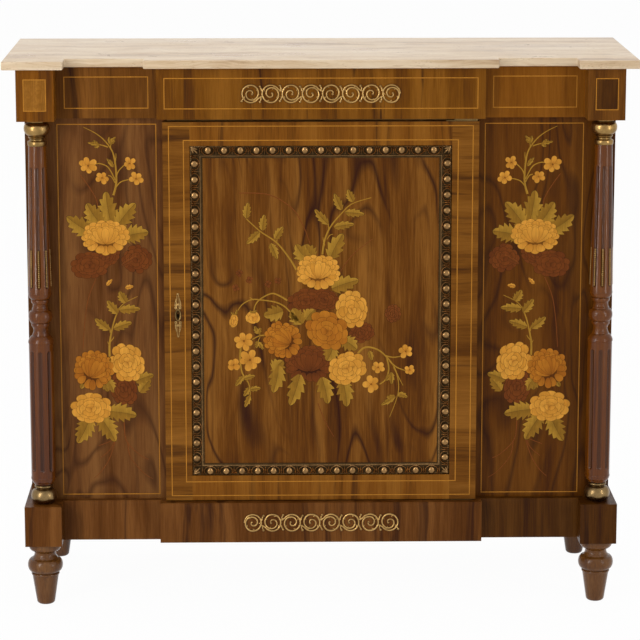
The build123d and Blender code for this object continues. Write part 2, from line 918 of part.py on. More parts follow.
with BuildPart() as lock_bolt:
    slab(
        (bolt_tip, bolt_tip + bolt_length),
        (bolt_y_front, bolt_y_back),
        (bolt_z_low, bolt_z_high),
    )
    cut_slab(
        (keyhole_x - talon_width / 2, keyhole_x + talon_width / 2),
        (bolt_y_front, bolt_y_back),
        (bolt_z_low, bolt_z_low + talon_height),
    )
save(lock_bolt, "lock_bolt")

with BuildPart() as strike_plate:
    slab((strike_outer, -opening_half), (strike_front, strike_back), (strike_low, strike_high))
    cut_slab(
        (strike_outer, -opening_half),
        (bolt_y_front - bolt_clearance, bolt_y_back + bolt_clearance),
        (bolt_z_low - bolt_clearance, bolt_z_high + bolt_clearance),
    )
save(strike_plate, "strike_plate")


# Knife hinges: a leaf on the carcass carries the pin, a leaf on the door turns on it
def leaf_outline(width, length):
    """A bar that ends in a round eye over the pin."""
    with Locations((pivot_x - length / 2, pivot_y)):
        Rectangle(length, width)
    with Locations((pivot_x, pivot_y)):
        Circle(width / 2)


with BuildPart() as hinge_carcass_leaves:
    with BuildSketch(Plane.XY.offset(upper_leaf_low)):
        leaf_outline(leaf_width, leaf_length)
        with Locations(
            (
                pivot_x - leaf_length + leaf_tail_width / 2,
                (pivot_y + panel_face + leaf_tail_bite) / 2,
            )
        ):
            Rectangle(leaf_tail_width, panel_face + leaf_tail_bite - pivot_y)
    extrude(amount=leaf_thickness)
    with BuildSketch(Plane.XY.offset(plinth_top - leaf_thickness)):
        leaf_outline(leaf_width, leaf_length)
    extrude(amount=leaf_thickness)
    for pin_start in (plinth_top, door_top + leaf_gap):
        with BuildSketch(Plane.XY.offset(pin_start)):
            with Locations((pivot_x, pivot_y)):
                Circle(pin_radius)
        extrude(amount=leaf_thickness)
save(hinge_carcass_leaves, "hinge_carcass_leaves")

with BuildPart() as hinge_door_leaves:
    for leaf_start in (door_bottom - leaf_thickness, door_top):
        with BuildSketch(Plane.XY.offset(leaf_start)):
            leaf_outline(door_leaf_width, door_leaf_length)
            with Locations((pivot_x, pivot_y)):
                Circle(pin_radius + pin_clearance, mode=Mode.SUBTRACT)
        extrude(amount=leaf_thickness)
save(hinge_door_leaves, "hinge_door_leaves")

# Drawer: the middle of the frieze is its front
with BuildPart() as drawer_front:
    slab(
        (-centre_half + drawer_gap_end, centre_half - drawer_gap_end),
        (centre_face, drawer_front_back),
        (frieze_bottom + drawer_gap_bottom, marble_underside - drawer_gap_top),
    )
    # groove for the drawer's bottom
    cut_slab(
        (-drawer_box_half + drawer_side_thickness, drawer_box_half - drawer_side_thickness),
        (drawer_front_back - drawer_groove_depth - groove_clearance, drawer_front_back),
        (drawer_bottom_low - groove_clearance, drawer_bottom_high + groove_clearance),
    )
    # finger grip, out of sight under the lower edge
    cut_slab(
        (-grip_length / 2, grip_length / 2),
        (centre_face + grip_wall, centre_face + grip_wall + grip_depth),
        (frieze_bottom + drawer_gap_bottom, frieze_bottom + drawer_gap_bottom + grip_height),
    )
save(drawer_front, "drawer_front")

for name, side in sides:
    with BuildPart() as drawer_side:
        slab(
            (side * (drawer_box_half - drawer_side_thickness), side * drawer_box_half),
            (drawer_front_back, drawer_box_back),
            (drawer_box_low, drawer_box_high),
        )
        cut_slab(
            (
                side * (drawer_box_half - drawer_side_thickness),
                side * (drawer_box_half - drawer_side_thickness + drawer_groove_depth + groove_clearance),
            ),
            (drawer_front_back, drawer_box_back),
            (drawer_bottom_low - groove_clearance, drawer_bottom_high + groove_clearance),
        )
    save(drawer_side, f"drawer_side_{name}")

with BuildPart() as drawer_back:
    slab(
        (-drawer_box_half + drawer_side_thickness, drawer_box_half - drawer_side_thickness),
        (drawer_box_back - drawer_side_thickness, drawer_box_back),
        (drawer_bottom_high, drawer_box_high),
    )
save(drawer_back, "drawer_back")

with BuildPart() as drawer_bottom:
    slab(
        (
            -drawer_box_half + drawer_side_thickness - drawer_groove_depth,
            drawer_box_half - drawer_side_thickness + drawer_groove_depth,
        ),
        (drawer_front_back, drawer_box_back),
        (drawer_bottom_low, drawer_bottom_high),
    )
    slab(
        (
            -drawer_box_half + drawer_side_thickness + groove_clearance,
            drawer_box_half - drawer_side_thickness - groove_clearance,
        ),
        (drawer_front_back - drawer_groove_depth, drawer_front_back),
        (drawer_bottom_low, drawer_bottom_high),
    )
save(drawer_bottom, "drawer_bottom")


def spiral_strand(ring_x, ring_z, start_angle, turn):
    """A flat strand that winds in from the ring to its eye, in short straight lengths."""
    outer = []
    inner = []
    for step in range(scroll_spiral_steps + 1):
        share = step / scroll_spiral_steps
        angle = radians(start_angle + turn * scroll_spiral_turn * share)
        start_radius = scroll_ring_radius - scroll_strand / 2
        middle = start_radius + (scroll_spiral_end - start_radius) * share
        for edge, radius in ((outer, middle + scroll_strand / 2), (inner, middle - scroll_strand / 2)):
            edge.append((ring_x + radius * cos(angle), ring_z + radius * sin(angle)))
    with BuildSketch(Plane.XY, mode=Mode.PRIVATE) as strand:
        with BuildLine():
            Polyline(*outer, *reversed(inner), close=True)
        make_face()
    return strand.sketch


def scroll_mount(face, middle_z, facing):
    """A strip of scroll rings, each closing in a spiral on its eye, joined by slanting strands."""
    strip_start = -scroll_pitch * (scroll_rings - 1) / 2
    with BuildPart() as mount:
        with BuildSketch(front_plane(face)):
            for index in range(scroll_rings):
                ring_x = facing * (strip_start + index * scroll_pitch)
                turn = facing * (1 if index % 2 else -1)
                with Locations((ring_x, middle_z)):
                    RegularPolygon(scroll_ring_radius, scroll_ring_flats)
                    RegularPolygon(
                        scroll_ring_radius - scroll_strand, scroll_ring_flats, mode=Mode.SUBTRACT
                    )
                    RegularPolygon(scroll_eye_radius, scroll_eye_flats)
                add(spiral_strand(ring_x, middle_z, 90 + turn * scroll_branch_angle, turn))
            for index in range(scroll_rings - 1):
                link_x = facing * (strip_start + (index + 0.5) * scroll_pitch)
                lean = facing * (scroll_link_lean if index % 2 else -scroll_link_lean)
                with Locations((link_x, middle_z)):
                    Rectangle(scroll_link_length, scroll_strand, rotation=lean)
        extrude(amount=scroll_thickness)
    return mount


frieze_mount = scroll_mount(centre_face, (frieze_bottom + marble_underside) / 2, 1)
save(frieze_mount, "frieze_mount")
plinth_mount = scroll_mount(centre_face, (plinth_bottom + plinth_top) / 2, -1)
save(plinth_mount, "plinth_mount")
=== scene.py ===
from math import asin, ceil, cos, hypot, pi, radians, sin, sqrt

import bmesh
import bpy
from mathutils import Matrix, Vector


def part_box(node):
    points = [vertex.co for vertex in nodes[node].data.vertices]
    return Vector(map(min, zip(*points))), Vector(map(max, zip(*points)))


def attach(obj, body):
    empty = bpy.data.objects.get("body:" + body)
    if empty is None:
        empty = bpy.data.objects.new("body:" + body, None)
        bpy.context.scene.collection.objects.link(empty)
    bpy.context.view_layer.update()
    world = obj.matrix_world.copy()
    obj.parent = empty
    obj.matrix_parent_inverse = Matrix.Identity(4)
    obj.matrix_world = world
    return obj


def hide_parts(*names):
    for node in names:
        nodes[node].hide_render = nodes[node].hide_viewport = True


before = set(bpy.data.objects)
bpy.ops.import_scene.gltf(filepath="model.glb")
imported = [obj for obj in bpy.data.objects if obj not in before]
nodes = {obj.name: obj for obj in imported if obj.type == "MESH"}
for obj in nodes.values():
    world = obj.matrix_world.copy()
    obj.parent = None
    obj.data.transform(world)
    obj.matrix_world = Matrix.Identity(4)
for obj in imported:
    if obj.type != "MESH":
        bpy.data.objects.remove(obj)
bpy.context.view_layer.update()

# Lengths are millimetres in the frame of the source, and metres in materials, floor, lights and camera.
MM = 0.001
white = (1, 1, 1)

# Front faces of the CAD model that thin pieces lie on, as y
block_face = -197
centre_face = -173
door_face = -159
door_panel_face = -154
side_frieze_face = -148
side_panel_face = -134


def rgb(red, green, blue):
    """A screen colour from 0 to 255 as the linear values that Blender works in."""
    def linear(value):
        value /= 255
        return value / 12.92 if value <= 0.04045 else ((value + 0.055) / 1.055) ** 2.4
    return (linear(red), linear(green), linear(blue))


def blend(a, b, share):
    return tuple(u + (v - u) * share for u, v in zip(a, b))


def scaled(colour, factor):
    return tuple(v * factor for v in colour)


def scatter(number):
    """A repeatable value from 0 to 1 for each number."""
    return (sin(number * 12.9898 + 4.1414) * 43758.5453) % 1


# Materials
class Graph:
    """The nodes of a material or of the world, and short ways to add to them."""

    def __init__(self, owner):
        self.owner = owner
        owner.use_nodes = True
        self.tree = owner.node_tree
        self.tree.nodes.clear()

    def node(self, kind, inputs=None, **settings):
        made = self.tree.nodes.new(kind)
        for key, value in settings.items():
            setattr(made, key, value)
        for key, value in (inputs or {}).items():
            if isinstance(value, bpy.types.NodeSocket):
                self.tree.links.new(value, made.inputs[key])
            elif isinstance(value, tuple) and made.inputs[key].type == "RGBA":
                made.inputs[key].default_value = (*value, 1)
            else:
                made.inputs[key].default_value = value
        return made

    def place(self):
        return self.node("ShaderNodeTexCoord").outputs["Object"]

    def stretched(self, vector, scale):
        return self.node("ShaderNodeMapping", {"Vector": vector, "Scale": scale}).outputs[0]

    def noise(self, vector, scale, detail=3, roughness=0.55, distortion=0):
        return self.node("ShaderNodeTexNoise", {
            "Vector": self.stretched(vector, scale), "Scale": 1, "Detail": detail,
            "Roughness": roughness, "Distortion": distortion}).outputs["Fac"]

    def math(self, operation, a, b=0, clamp=False):
        return self.node("ShaderNodeMath", {0: a, 1: b}, operation=operation, use_clamp=clamp).outputs[0]

    def span(self, value, low, high, out_low=0, out_high=1):
        return self.node("ShaderNodeMapRange", {
            "Value": value, "From Min": low, "From Max": high,
            "To Min": out_low, "To Max": out_high}).outputs["Result"]

    def mix(self, share, a, b, mode="MIX"):
        return self.node("ShaderNodeMix", {0: share, 6: a, 7: b}, data_type="RGBA",
                         blend_type=mode).outputs[2]

    def ramp(self, value, stops):
        made = self.node("ShaderNodeValToRGB", {"Fac": value})
        elements = made.color_ramp.elements
        while len(elements) < len(stops):
            elements.new(0.5)
        for element, (position, colour) in zip(elements, stops):
            element.position = position
            element.color = (*colour, 1)
        return made.outputs["Color"]

    def bump(self, height, distance, strength=1):
        return self.node("ShaderNodeBump", {
            "Height": height, "Distance": distance, "Strength": strength}).outputs["Normal"]

    def surface(self, **inputs):
        names = {key.replace("_", " ").title().replace("Ior", "IOR"): value for key, value in inputs.items()}
        return self.finish(self.node("ShaderNodeBsdfPrincipled", names))

    def seen(self):
        """1 for rays from the camera, from a gloss or through glass, which meet plain white."""
        rays = self.node("ShaderNodeLightPath").outputs
        direct = self.math("MAXIMUM", rays["Is Camera Ray"], rays["Is Glossy Ray"])
        return self.math("MAXIMUM", direct, rays["Is Transmission Ray"])

    def finish(self, shader, output="ShaderNodeOutputMaterial"):
        self.node(output, {"Surface": shader.outputs[0]})
        return self.owner


def along(grain, across, lengthwise):
    """A scale that draws a pattern out along one axis."""
    return tuple(lengthwise if axis == grain else across for axis in "xyz")


def wood(name, dark, middle, light, streak, grain="z", streaks=0.5, contours=0, roughness=0.36,
         shift=0, knots=0, shine=0.08, tinted=False):
    """Veneer or solid wood: fibres, bands, near-black streaks and, for figured wood, wavy contours."""
    g = Graph(bpy.data.materials.new(name))
    # the sheen adds a little light to every colour, so it is taken off here
    dark, middle, light, streak = (
        tuple(max(v * kept - 0.006, 0.0012) for v, kept in zip(rgb(*tone), (0.96, 0.95, 0.84)))
        for tone in (dark, middle, light, streak))
    place = g.node("ShaderNodeVectorMath", {0: g.place(), 1: (shift, shift * 0.7, shift * 1.3)},
                   operation="ADD").outputs[0]
    warp = g.node("ShaderNodeTexNoise", {"Vector": place, "Scale": 3.2, "Detail": 2}).outputs["Color"]
    bent = g.node("ShaderNodeVectorMath", {0: warp, 1: (0.5, 0.5, 0.5)}, operation="SUBTRACT").outputs[0]
    bent = g.node("ShaderNodeVectorMath", {0: bent, "Scale": 0.035}, operation="SCALE").outputs[0]
    bent = g.node("ShaderNodeVectorMath", {0: place, 1: bent}, operation="ADD").outputs[0]
    fibres = g.noise(place, along(grain, 520, 18), 4, 0.6)
    bands = g.noise(bent, along(grain, 26, 1.7), 4, 0.6, 0.4)
    tone = g.math("ADD", g.math("MULTIPLY", bands, 0.72), g.math("MULTIPLY", fibres, 0.28))
    colour = g.ramp(tone, [(0.34, dark), (0.48, middle), (0.64, light)])
    streaked = g.noise(bent, along(grain, 46, 1.2), 3, 0.6, 0.3)
    mask = g.math("MULTIPLY", g.span(streaked, 0.56, 0.68), streaks, clamp=True)
    colour = g.mix(mask, colour, streak)
    if contours:
        field = g.noise(bent, along(grain, 7.5, 2.6), 1.5, 0.45, 0.6)
        lines = g.math("PINGPONG", g.math("MULTIPLY", field, 11), 0.5)
        lines = g.span(lines, 0, 0.2, 1, 0)
        area = g.span(g.noise(place, along(grain, 4.5, 3), 1), 0.38, 0.54)
        colour = g.mix(g.math("MULTIPLY", g.math("MULTIPLY", lines, area), contours, clamp=True),
                       colour, streak)
    if knots:
        burl = g.noise(bent, (60, 60, 60), 4, 0.65, 1.2)
        colour = g.mix(g.math("MULTIPLY", g.span(burl, 0.45, 0.62), knots, clamp=True), colour, dark)
    pores = g.span(g.noise(place, along(grain, 1500, 42), 2), 0.60, 0.72)
    colour = g.mix(g.math("MULTIPLY", pores, 0.30), colour, scaled(streak, 0.8))
    if tinted:
        # on turned pieces the tint is painted shade in the bottoms of the flutes
        tint = g.node("ShaderNodeVertexColor", layer_name="tint").outputs["Color"]
        colour = g.mix(1, colour, tint, "MULTIPLY")
    height = g.math("SUBTRACT", fibres, g.math("MULTIPLY", pores, 0.8))
    return g.surface(
        base_color=colour, roughness=g.span(tone, 0.2, 0.8, roughness + 0.05, roughness - 0.05),
        specular_ior_level=shine, normal=g.bump(height, 0.00025, 0.35))


def inlaid(name):
    """Cut veneers of several woods, whose colours are on the pieces themselves."""
    g = Graph(bpy.data.materials.new(name))
    place = g.place()
    tint = g.node("ShaderNodeVertexColor", layer_name="tint").outputs["Color"]
    fibres = g.noise(place, (420, 420, 40), 3, 0.6)
    cloud = g.noise(place, (60, 60, 60), 2)
    shade = g.math("ADD", g.span(fibres, 0.3, 0.7, 0.82, 1.06), g.span(cloud, 0.3, 0.7, -0.08, 0.08))
    colour = g.node("ShaderNodeVectorMath", {0: tint, "Scale": shade}, operation="SCALE").outputs[0]
    return g.surface(base_color=colour, roughness=g.span(fibres, 0.3, 0.7, 0.42, 0.34),
                     specular_ior_level=0.08, normal=g.bump(fibres, 0.0002, 0.25))


def metal(name, bright, dull, roughness, metallic=1, tinted=True, grime=0.5):
    """Cast or rolled metal with patina; where tinted, multiplied by the piece's tint, which is painted shade
    in its hollows and a painted highlight on its raised parts.
    """
    g = Graph(bpy.data.materials.new(name))
    place = g.place()
    patches = g.noise(place, (70, 70, 70), 4, 0.6)
    fine = g.noise(place, (900, 900, 900), 3, 0.6)
    share = g.math("ADD", g.span(patches, 0.35, 0.65, 0, grime), g.span(fine, 0.4, 0.7, 0, 0.25),
                   clamp=True)
    colour = g.mix(share, bright, dull)
    if tinted:
        # the tint is painted shade and painted highlight, not the metal's own colour
        tint = g.node("ShaderNodeVertexColor", layer_name="tint").outputs["Color"]
        colour = g.mix(1, colour, tint, "MULTIPLY")
    rough = g.math("ADD", g.span(patches, 0.3, 0.7, roughness - 0.06, roughness + 0.08),
                   g.span(fine, 0.4, 0.7, 0, 0.06))
    return g.surface(base_color=colour, metallic=metallic, roughness=rough,
                     normal=g.bump(fine, 0.0001, 0.3))


def stone(name):
    """Travertine: cloudy cream with tan beds running along the length, small pits and fine cracks."""
    g = Graph(bpy.data.materials.new(name))
    place = g.place()
    warp = g.node("ShaderNodeTexNoise", {"Vector": place, "Scale": 5, "Detail": 3}).outputs["Color"]
    bent = g.node("ShaderNodeVectorMath", {0: warp, "Scale": 0.05}, operation="SCALE").outputs[0]
    bent = g.node("ShaderNodeVectorMath", {0: place, 1: bent}, operation="ADD").outputs[0]
    beds = g.noise(bent, (2.2, 17, 60), 5, 0.62, 0.2)
    cloud = g.noise(place, (9, 14, 14), 5, 0.6)
    tone = g.math("ADD", g.math("MULTIPLY", beds, 0.7), g.math("MULTIPLY", cloud, 0.3))
    colour = g.ramp(tone, [(0.34, rgb(162, 128, 90)), (0.46, rgb(203, 175, 139)), (0.60, rgb(221, 199, 168))])
    veins = g.math("PINGPONG", g.math("MULTIPLY", g.noise(bent, (3, 22, 70), 4, 0.6), 5), 0.5)
    colour = g.mix(g.span(veins, 0, 0.07, 0.45, 0), colour, rgb(170, 132, 94))
    holes = g.node("ShaderNodeTexVoronoi", {"Vector": g.stretched(bent, (130, 200, 420)), "Scale": 1},
                   feature="F1").outputs["Distance"]
    where = g.span(g.noise(place, (16, 40, 60), 2), 0.50, 0.62)
    pits = g.math("MULTIPLY", g.span(holes, 0.16, 0.30, 1, 0), where)
    colour = g.mix(g.math("MULTIPLY", pits, 0.55), colour, rgb(150, 112, 74))
    fine = g.noise(place, (700, 700, 700), 2)
    height = g.math("SUBTRACT", g.math("MULTIPLY", fine, 0.15), pits)
    return g.surface(base_color=colour, roughness=g.span(cloud, 0.3, 0.7, 0.26, 0.38),
                     normal=g.bump(height, 0.0005, 0.5))


def floor_paper(name, light_share):
    """Pale paper that shows nearly white to the camera and still takes the object's shadow."""
    g = Graph(bpy.data.materials.new(name))
    grain = g.noise(g.place(), (60, 60, 60), 2)
    colour = g.mix(g.span(grain, 0.3, 0.7), rgb(244, 244, 243), rgb(248, 248, 247))
    paper = g.node("ShaderNodeBsdfDiffuse", {"Color": colour}).outputs[0]
    glow = g.node("ShaderNodeEmission", {"Color": white, "Strength": 1}).outputs[0]
    share = g.math("MULTIPLY", g.seen(), light_share)
    return g.finish(g.node("ShaderNodeMixShader", {0: share, 1: paper, 2: glow}))


frieze_wood = wood("frieze_veneer", (84, 48, 16), (112, 69, 25), (136, 88, 34), (40, 22, 8),
                   streaks=0.9)
side_frieze_wood = wood("side_frieze_veneer", (78, 46, 20), (104, 64, 28), (128, 82, 38),
                        (42, 24, 10), streaks=0.8, shift=0.3)
light_block_wood = wood("light_burl_veneer", (120, 76, 28), (150, 100, 42), (176, 122, 56),
                        (80, 46, 18), streaks=0.2, knots=0.5, shift=0.9)
rail_wood = wood("rail_veneer", (94, 56, 20), (124, 76, 29), (144, 94, 38), (50, 28, 10),
                 streaks=0.7, shift=0.5)
stile_wood = wood("stile_crossband", (88, 52, 21), (118, 74, 30), (140, 92, 40), (54, 31, 13),
                  grain="x", streaks=0.7, shift=0.7)
panel_wood = wood("panel_flame_veneer", (70, 39, 15), (102, 61, 26), (140, 92, 42), (42, 22, 8),
                  streaks=0.35, contours=0.85, shift=1.1)
side_panel_wood = wood("side_panel_veneer", (80, 46, 24), (105, 66, 37), (127, 85, 49),
                       (52, 29, 13), streaks=0.3, contours=0.6, shift=1.7)
# darker than the left side panel's veneer: partly its own redder tone, partly painted shade of the light from
# the left
right_panel_wood_and_shade = wood("right_panel_veneer_and_shade", (68, 38, 14), (93, 54, 21), (112, 69, 29),
                       (44, 26, 10), streaks=0.3, contours=0.6, shift=2)
warm_frieze_wood = wood("right_frieze_veneer", (96, 55, 19), (122, 74, 26), (140, 88, 34),
                        (52, 29, 10), streaks=0.6, shift=0.4)
end_wood = wood("end_veneer", (80, 46, 22), (100, 61, 29), (120, 76, 37), (56, 31, 14),
                streaks=0.4, contours=0.25, shift=2.3)
plinth_wood = wood("plinth_veneer", (78, 45, 22), (98, 59, 30), (122, 78, 42), (46, 26, 12),
                   streaks=0.7, shift=2.9)
# darker than the left plinth's veneer: partly its own tone, partly painted shade of the light from the left
right_plinth_wood_and_shade = wood("right_plinth_veneer_and_shade", (54, 31, 13), (76, 46, 20), (98, 62, 30),
                        (34, 19, 8), streaks=0.6, shift=3.1)
turned = wood("turned_mahogany", (80, 41, 9), (98, 53, 14), (113, 64, 20), (48, 24, 6),
              streaks=0.6, roughness=0.17, shift=3.3, shine=0.27, tinted=True)
inner_wood = wood("carcass_pine", (150, 108, 64), (178, 134, 84), (198, 156, 104), (120, 78, 42),
                  streaks=0.25, roughness=0.62, shift=3.9)
inner_across = wood("carcass_pine_across", (150, 108, 64), (178, 134, 84), (198, 156, 104),
                    (120, 78, 42), grain="x", streaks=0.25, roughness=0.62, shift=4.3)
back_wood = wood("back_boards", (112, 76, 44), (136, 96, 58), (156, 114, 72), (78, 48, 26),
                 streaks=0.4, roughness=0.7, shift=4.9, knots=0.15)
inlay = inlaid("marquetry_veneers")
brass = metal("aged_brass", rgb(170, 136, 82), rgb(100, 76, 44), 0.28)
worn_brass = metal("worn_brass", rgb(144, 118, 78), rgb(80, 63, 41), 0.26)
bronze = metal("dark_bronze", rgb(140, 107, 67), rgb(74, 54, 33), 0.24)
plain_brass = metal("hinge_brass", rgb(128, 104, 64), rgb(84, 64, 38), 0.36, tinted=False)
steel = metal("lock_steel", rgb(132, 128, 122), rgb(92, 84, 74), 0.42, tinted=False, grime=0.7)
travertine = stone("travertine")
paper = floor_paper("pale_floor", 0.97)

finishes = (
    (back_wood, "back_panel"),
    (inner_across, "bottom_board drawer_back drawer_bottom drawer_rail shelf shelf_cleats top_board"),
    (inner_wood, "drawer_runner_left drawer_runner_right drawer_side_left drawer_side_right foot_blocks"),
    (panel_wood, "door_panel"),
    (rail_wood, "door_rail_bottom door_rail_top"),
    (stile_wood, "door_stile_left door_stile_right"),
    (frieze_wood, "drawer_front"),
    (end_wood, "end_panel_left end_panel_right"),
    (warm_frieze_wood, "frieze_block_left frieze_side_right"),
    (side_frieze_wood, "frieze_block_right frieze_return_left frieze_return_right frieze_side_left"),
    (side_panel_wood, "front_panel_left"),
    (right_panel_wood_and_shade, "front_panel_right"),
    (plain_brass, "hinge_carcass_leaves hinge_door_leaves strike_plate"),
    (steel, "lock_bolt lock_case"),
    (plinth_wood, "plinth_block_left plinth_centre plinth_return_left plinth_return_right plinth_side_left"),
    (right_plinth_wood_and_shade, "plinth_block_right plinth_side_right"),
)
for finish, names in finishes:
    for name in names.split():
        for slot in nodes[name].material_slots:
            slot.material = finish


# Meshes
def turns(count):
    """Angles at equal steps all the way round."""
    return [2 * pi * k / count for k in range(count)]


def ring_faces(rings, around, first=0, closed=False):
    """Faces between neighbouring rings of points, and from the last ring to the first if closed."""
    faces = []
    for row in range(rings if closed else rings - 1):
        here, there = first + row * around, first + (row + 1) % rings * around
        for k in range(around):
            after = (k + 1) % around
            faces.append((here + k, there + k, there + after, here + after))
    return faces


def plate_faces(count):
    """Faces of a plate between two outlines of count points each."""
    return [tuple(range(count)), tuple(reversed(range(count, 2 * count)))] + ring_faces(2, count)


class Shape:
    """Collects closed solids and a tint for each of their points."""

    def __init__(self):
        self.points = []
        self.faces = []
        self.tints = []

    def add(self, points, faces, tints=white):
        start = len(self.points)
        self.points += [tuple(p) for p in points]
        self.faces += [tuple(start + i for i in face) for face in faces]
        self.tints += [tints] * len(points) if isinstance(tints, tuple) else tints

    def prism(self, outline, front, back):
        """A plate between two depths, from an outline of x and z."""
        self.add([(x, y, z) for y in (front, back) for x, z in outline], plate_faces(len(outline)))

    def strip(self, left, right, front, back, left_tints, right_tints):
        """A plate between two lines of x and z that run side by side."""
        count = len(left)
        points = [(x, y, z) for y in (front, back) for line in (left, right) for x, z in line]
        faces = []
        for i in range(count - 1):
            faces.append((i, i + 1, count + i + 1, count + i))
            faces.append((2 * count + i, 3 * count + i, 3 * count + i + 1, 2 * count + i + 1))
            faces.append((i, 2 * count + i, 2 * count + i + 1, i + 1))
            faces.append((count + i, count + i + 1, 3 * count + i + 1, 3 * count + i))
        faces.append((0, count, 3 * count, 2 * count))
        faces.append((count - 1, 3 * count - 1, 4 * count - 1, 2 * count - 1))
        self.add(points, faces, (left_tints + right_tints) * 2)

    def button(self, rim, hub, front, back, rim_tints, hub_tint):
        """A plate between two depths whose front face fans out from a point inside its rim."""
        count = len(rim)
        points = [(x, y, z) for y in (front, back) for x, z in rim] + [(hub[0], front, hub[1])]
        faces = [(2 * count, i, (i + 1) % count) for i in range(count)]
        faces.append(tuple(reversed(range(count, 2 * count))))
        self.add(points, faces + ring_faces(2, count), rim_tints * 2 + [hub_tint])

    def lathe(self, centre, profile, around=48, radius=None, tints=white):
        """A turned solid from (height, radius) pairs, bottom first. radius(z, r, angle) may cut into it."""
        cx, cy = centre
        angles = around if isinstance(around, list) else turns(around)
        count = len(angles)
        points, shades = [], []
        for index, (z, r) in enumerate(profile):
            for angle in angles:
                reach = radius(z, r, angle) if radius else r
                points.append((cx + reach * cos(angle), cy + reach * sin(angle), z))
                shade = tints if isinstance(tints, tuple) else tints[index]
                # painted shade darkens the bottoms of the flutes
                shades.append(scaled(shade, 1 - 0.5 * min(1, (r - reach) / 2.4)))
        faces = ring_faces(len(profile), count)
        faces.append(tuple(reversed(range(count))))
        faces.append(tuple(range(count * (len(profile) - 1), count * len(profile))))
        self.add(points, faces, shades)

    def ball(self, centre, radii, rows=6, around=10, tints=white):
        """A closed round form with its poles along y."""
        cx, cy, cz = centre
        rx, ry, rz = radii
        points = [(cx, cy - ry, cz)]
        for row in range(1, rows):
            fall = pi * row / rows
            for turn in turns(around):
                points.append((cx + rx * sin(fall) * cos(turn), cy - ry * cos(fall),
                               cz + rz * sin(fall) * sin(turn)))
        points.append((cx, cy + ry, cz))
        last = len(points) - 1
        faces = [(0, 1 + k, 1 + (k + 1) % around) for k in range(around)]
        faces += ring_faces(rows - 1, around, 1)
        low = 1 + (rows - 2) * around
        faces += [(last, low + (k + 1) % around, low + k) for k in range(around)]
        self.add(points, faces, tints)

    def strand(self, line, radii, back, height=1, sides=6, low=0.55, high=1.15):
        """A half-round strand that lies on a plane facing the front, along a line of x and z, with painted
        shade on its sides and a painted highlight on its crest.
        """
        count = len(line)
        points, tints = [], []
        for i, (x, z) in enumerate(line):
            before, after = line[max(i - 1, 0)], line[min(i + 1, count - 1)]
            dx, dz = after[0] - before[0], after[1] - before[1]
            size = hypot(dx, dz) or 1
            nx, nz = -dz / size, dx / size
            for k in range(sides + 1):
                turn = pi * k / sides
                points.append((x + nx * radii[i] * cos(turn), back - height * radii[i] * sin(turn),
                               z + nz * radii[i] * cos(turn)))
                # tint from low at the sides to high on the crest: painted shade and painted highlight
                tints.append(scaled(white, low + (high - low) * sin(turn)))
        wide = sides + 1
        faces = []
        for i in range(count - 1):
            for k in range(sides):
                a = i * wide + k
                faces.append((a, a + wide, a + wide + 1, a + 1))
            faces.append((i * wide, i * wide + sides, (i + 1) * wide + sides, (i + 1) * wide))
        faces.append(tuple(range(wide)))
        faces.append(tuple(reversed(range((count - 1) * wide, count * wide))))
        self.add(points, faces, tints)


def piece(name, shape, material, body, replaced=(), sharp=40):
    mesh = bpy.data.meshes.new(name)
    mesh.from_pydata([(x * MM, y * MM, z * MM) for x, y, z in shape.points], [], shape.faces)
    tint = mesh.color_attributes.new("tint", "FLOAT_COLOR", "POINT")
    tint.data.foreach_set("color", [value for t in shape.tints for value in (*t, 1)])
    work = bmesh.new()
    work.from_mesh(mesh)
    bmesh.ops.recalc_face_normals(work, faces=work.faces)
    work.to_mesh(mesh)
    work.free()
    mesh.shade_smooth()
    mesh.set_sharp_from_angle(angle=radians(sharp))
    made = bpy.data.objects.new(name, mesh)
    bpy.context.scene.collection.objects.link(made)
    mesh.materials.append(material)
    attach(made, body)
    if replaced:
        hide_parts(*replaced)
    return made


def curve_through(points, steps=8):
    """Points on a smooth line through the given ones."""
    padded = [points[0]] + list(points) + [points[-1]]
    line = []
    for i in range(1, len(padded) - 2):
        p0, p1, p2, p3 = (Vector(p) for p in padded[i - 1:i + 3])
        for k in range(steps):
            t = k / steps
            line.append(tuple(0.5 * (2 * p1 + (p2 - p0) * t + (2 * p0 - 5 * p1 + 4 * p2 - p3) * t * t
                                     + (3 * p1 - p0 - 3 * p2 + p3) * t ** 3)))
    line.append(tuple(points[-1]))
    return line


# Stone top
stone_outline = [(-590, 210), (590, 210), (590, -210), (477, -210), (477, -160), (330, -160), (330, -191),
                 (-330, -191), (-330, -160), (-477, -160), (-477, -210), (-590, -210)]
top = Shape()
stone_bottom, stone_top, stone_edge_radius = 1034, 1050, 2.2
top.add([(x, y, z) for z in (stone_bottom, stone_top) for x, y in stone_outline],
        plate_faces(len(stone_outline)))
marble = piece("stone_top", top, travertine, "carcass", ("marble_top",), 50)
work = bmesh.new()
work.from_mesh(marble.data)
bmesh.ops.bevel(work, geom=work.edges[:], offset=stone_edge_radius * MM, segments=4, profile=0.5,
                affect="EDGES")
work.to_mesh(marble.data)
work.free()
marble.data.shade_smooth()
marble.data.set_sharp_from_angle(angle=radians(50))


# Columns
column_x, column_y = 530, -162
column_radius = 23.2
# (height, radius) where the taper of the upper shaft starts and ends
taper_start, taper_end = (608, 21.6), (888, 16.4)
flutes = 8
flute_step = 2 * pi / flutes
# The tool is the radius of the ball that cuts a flute, with its centre standing off the shaft
lower_flute = {"low": 268, "high": 494, "tool": 5.2, "stand_off": 2.4}
upper_flute = {"low": 622, "high": 845, "tool": 4.4, "stand_off": 1.9}


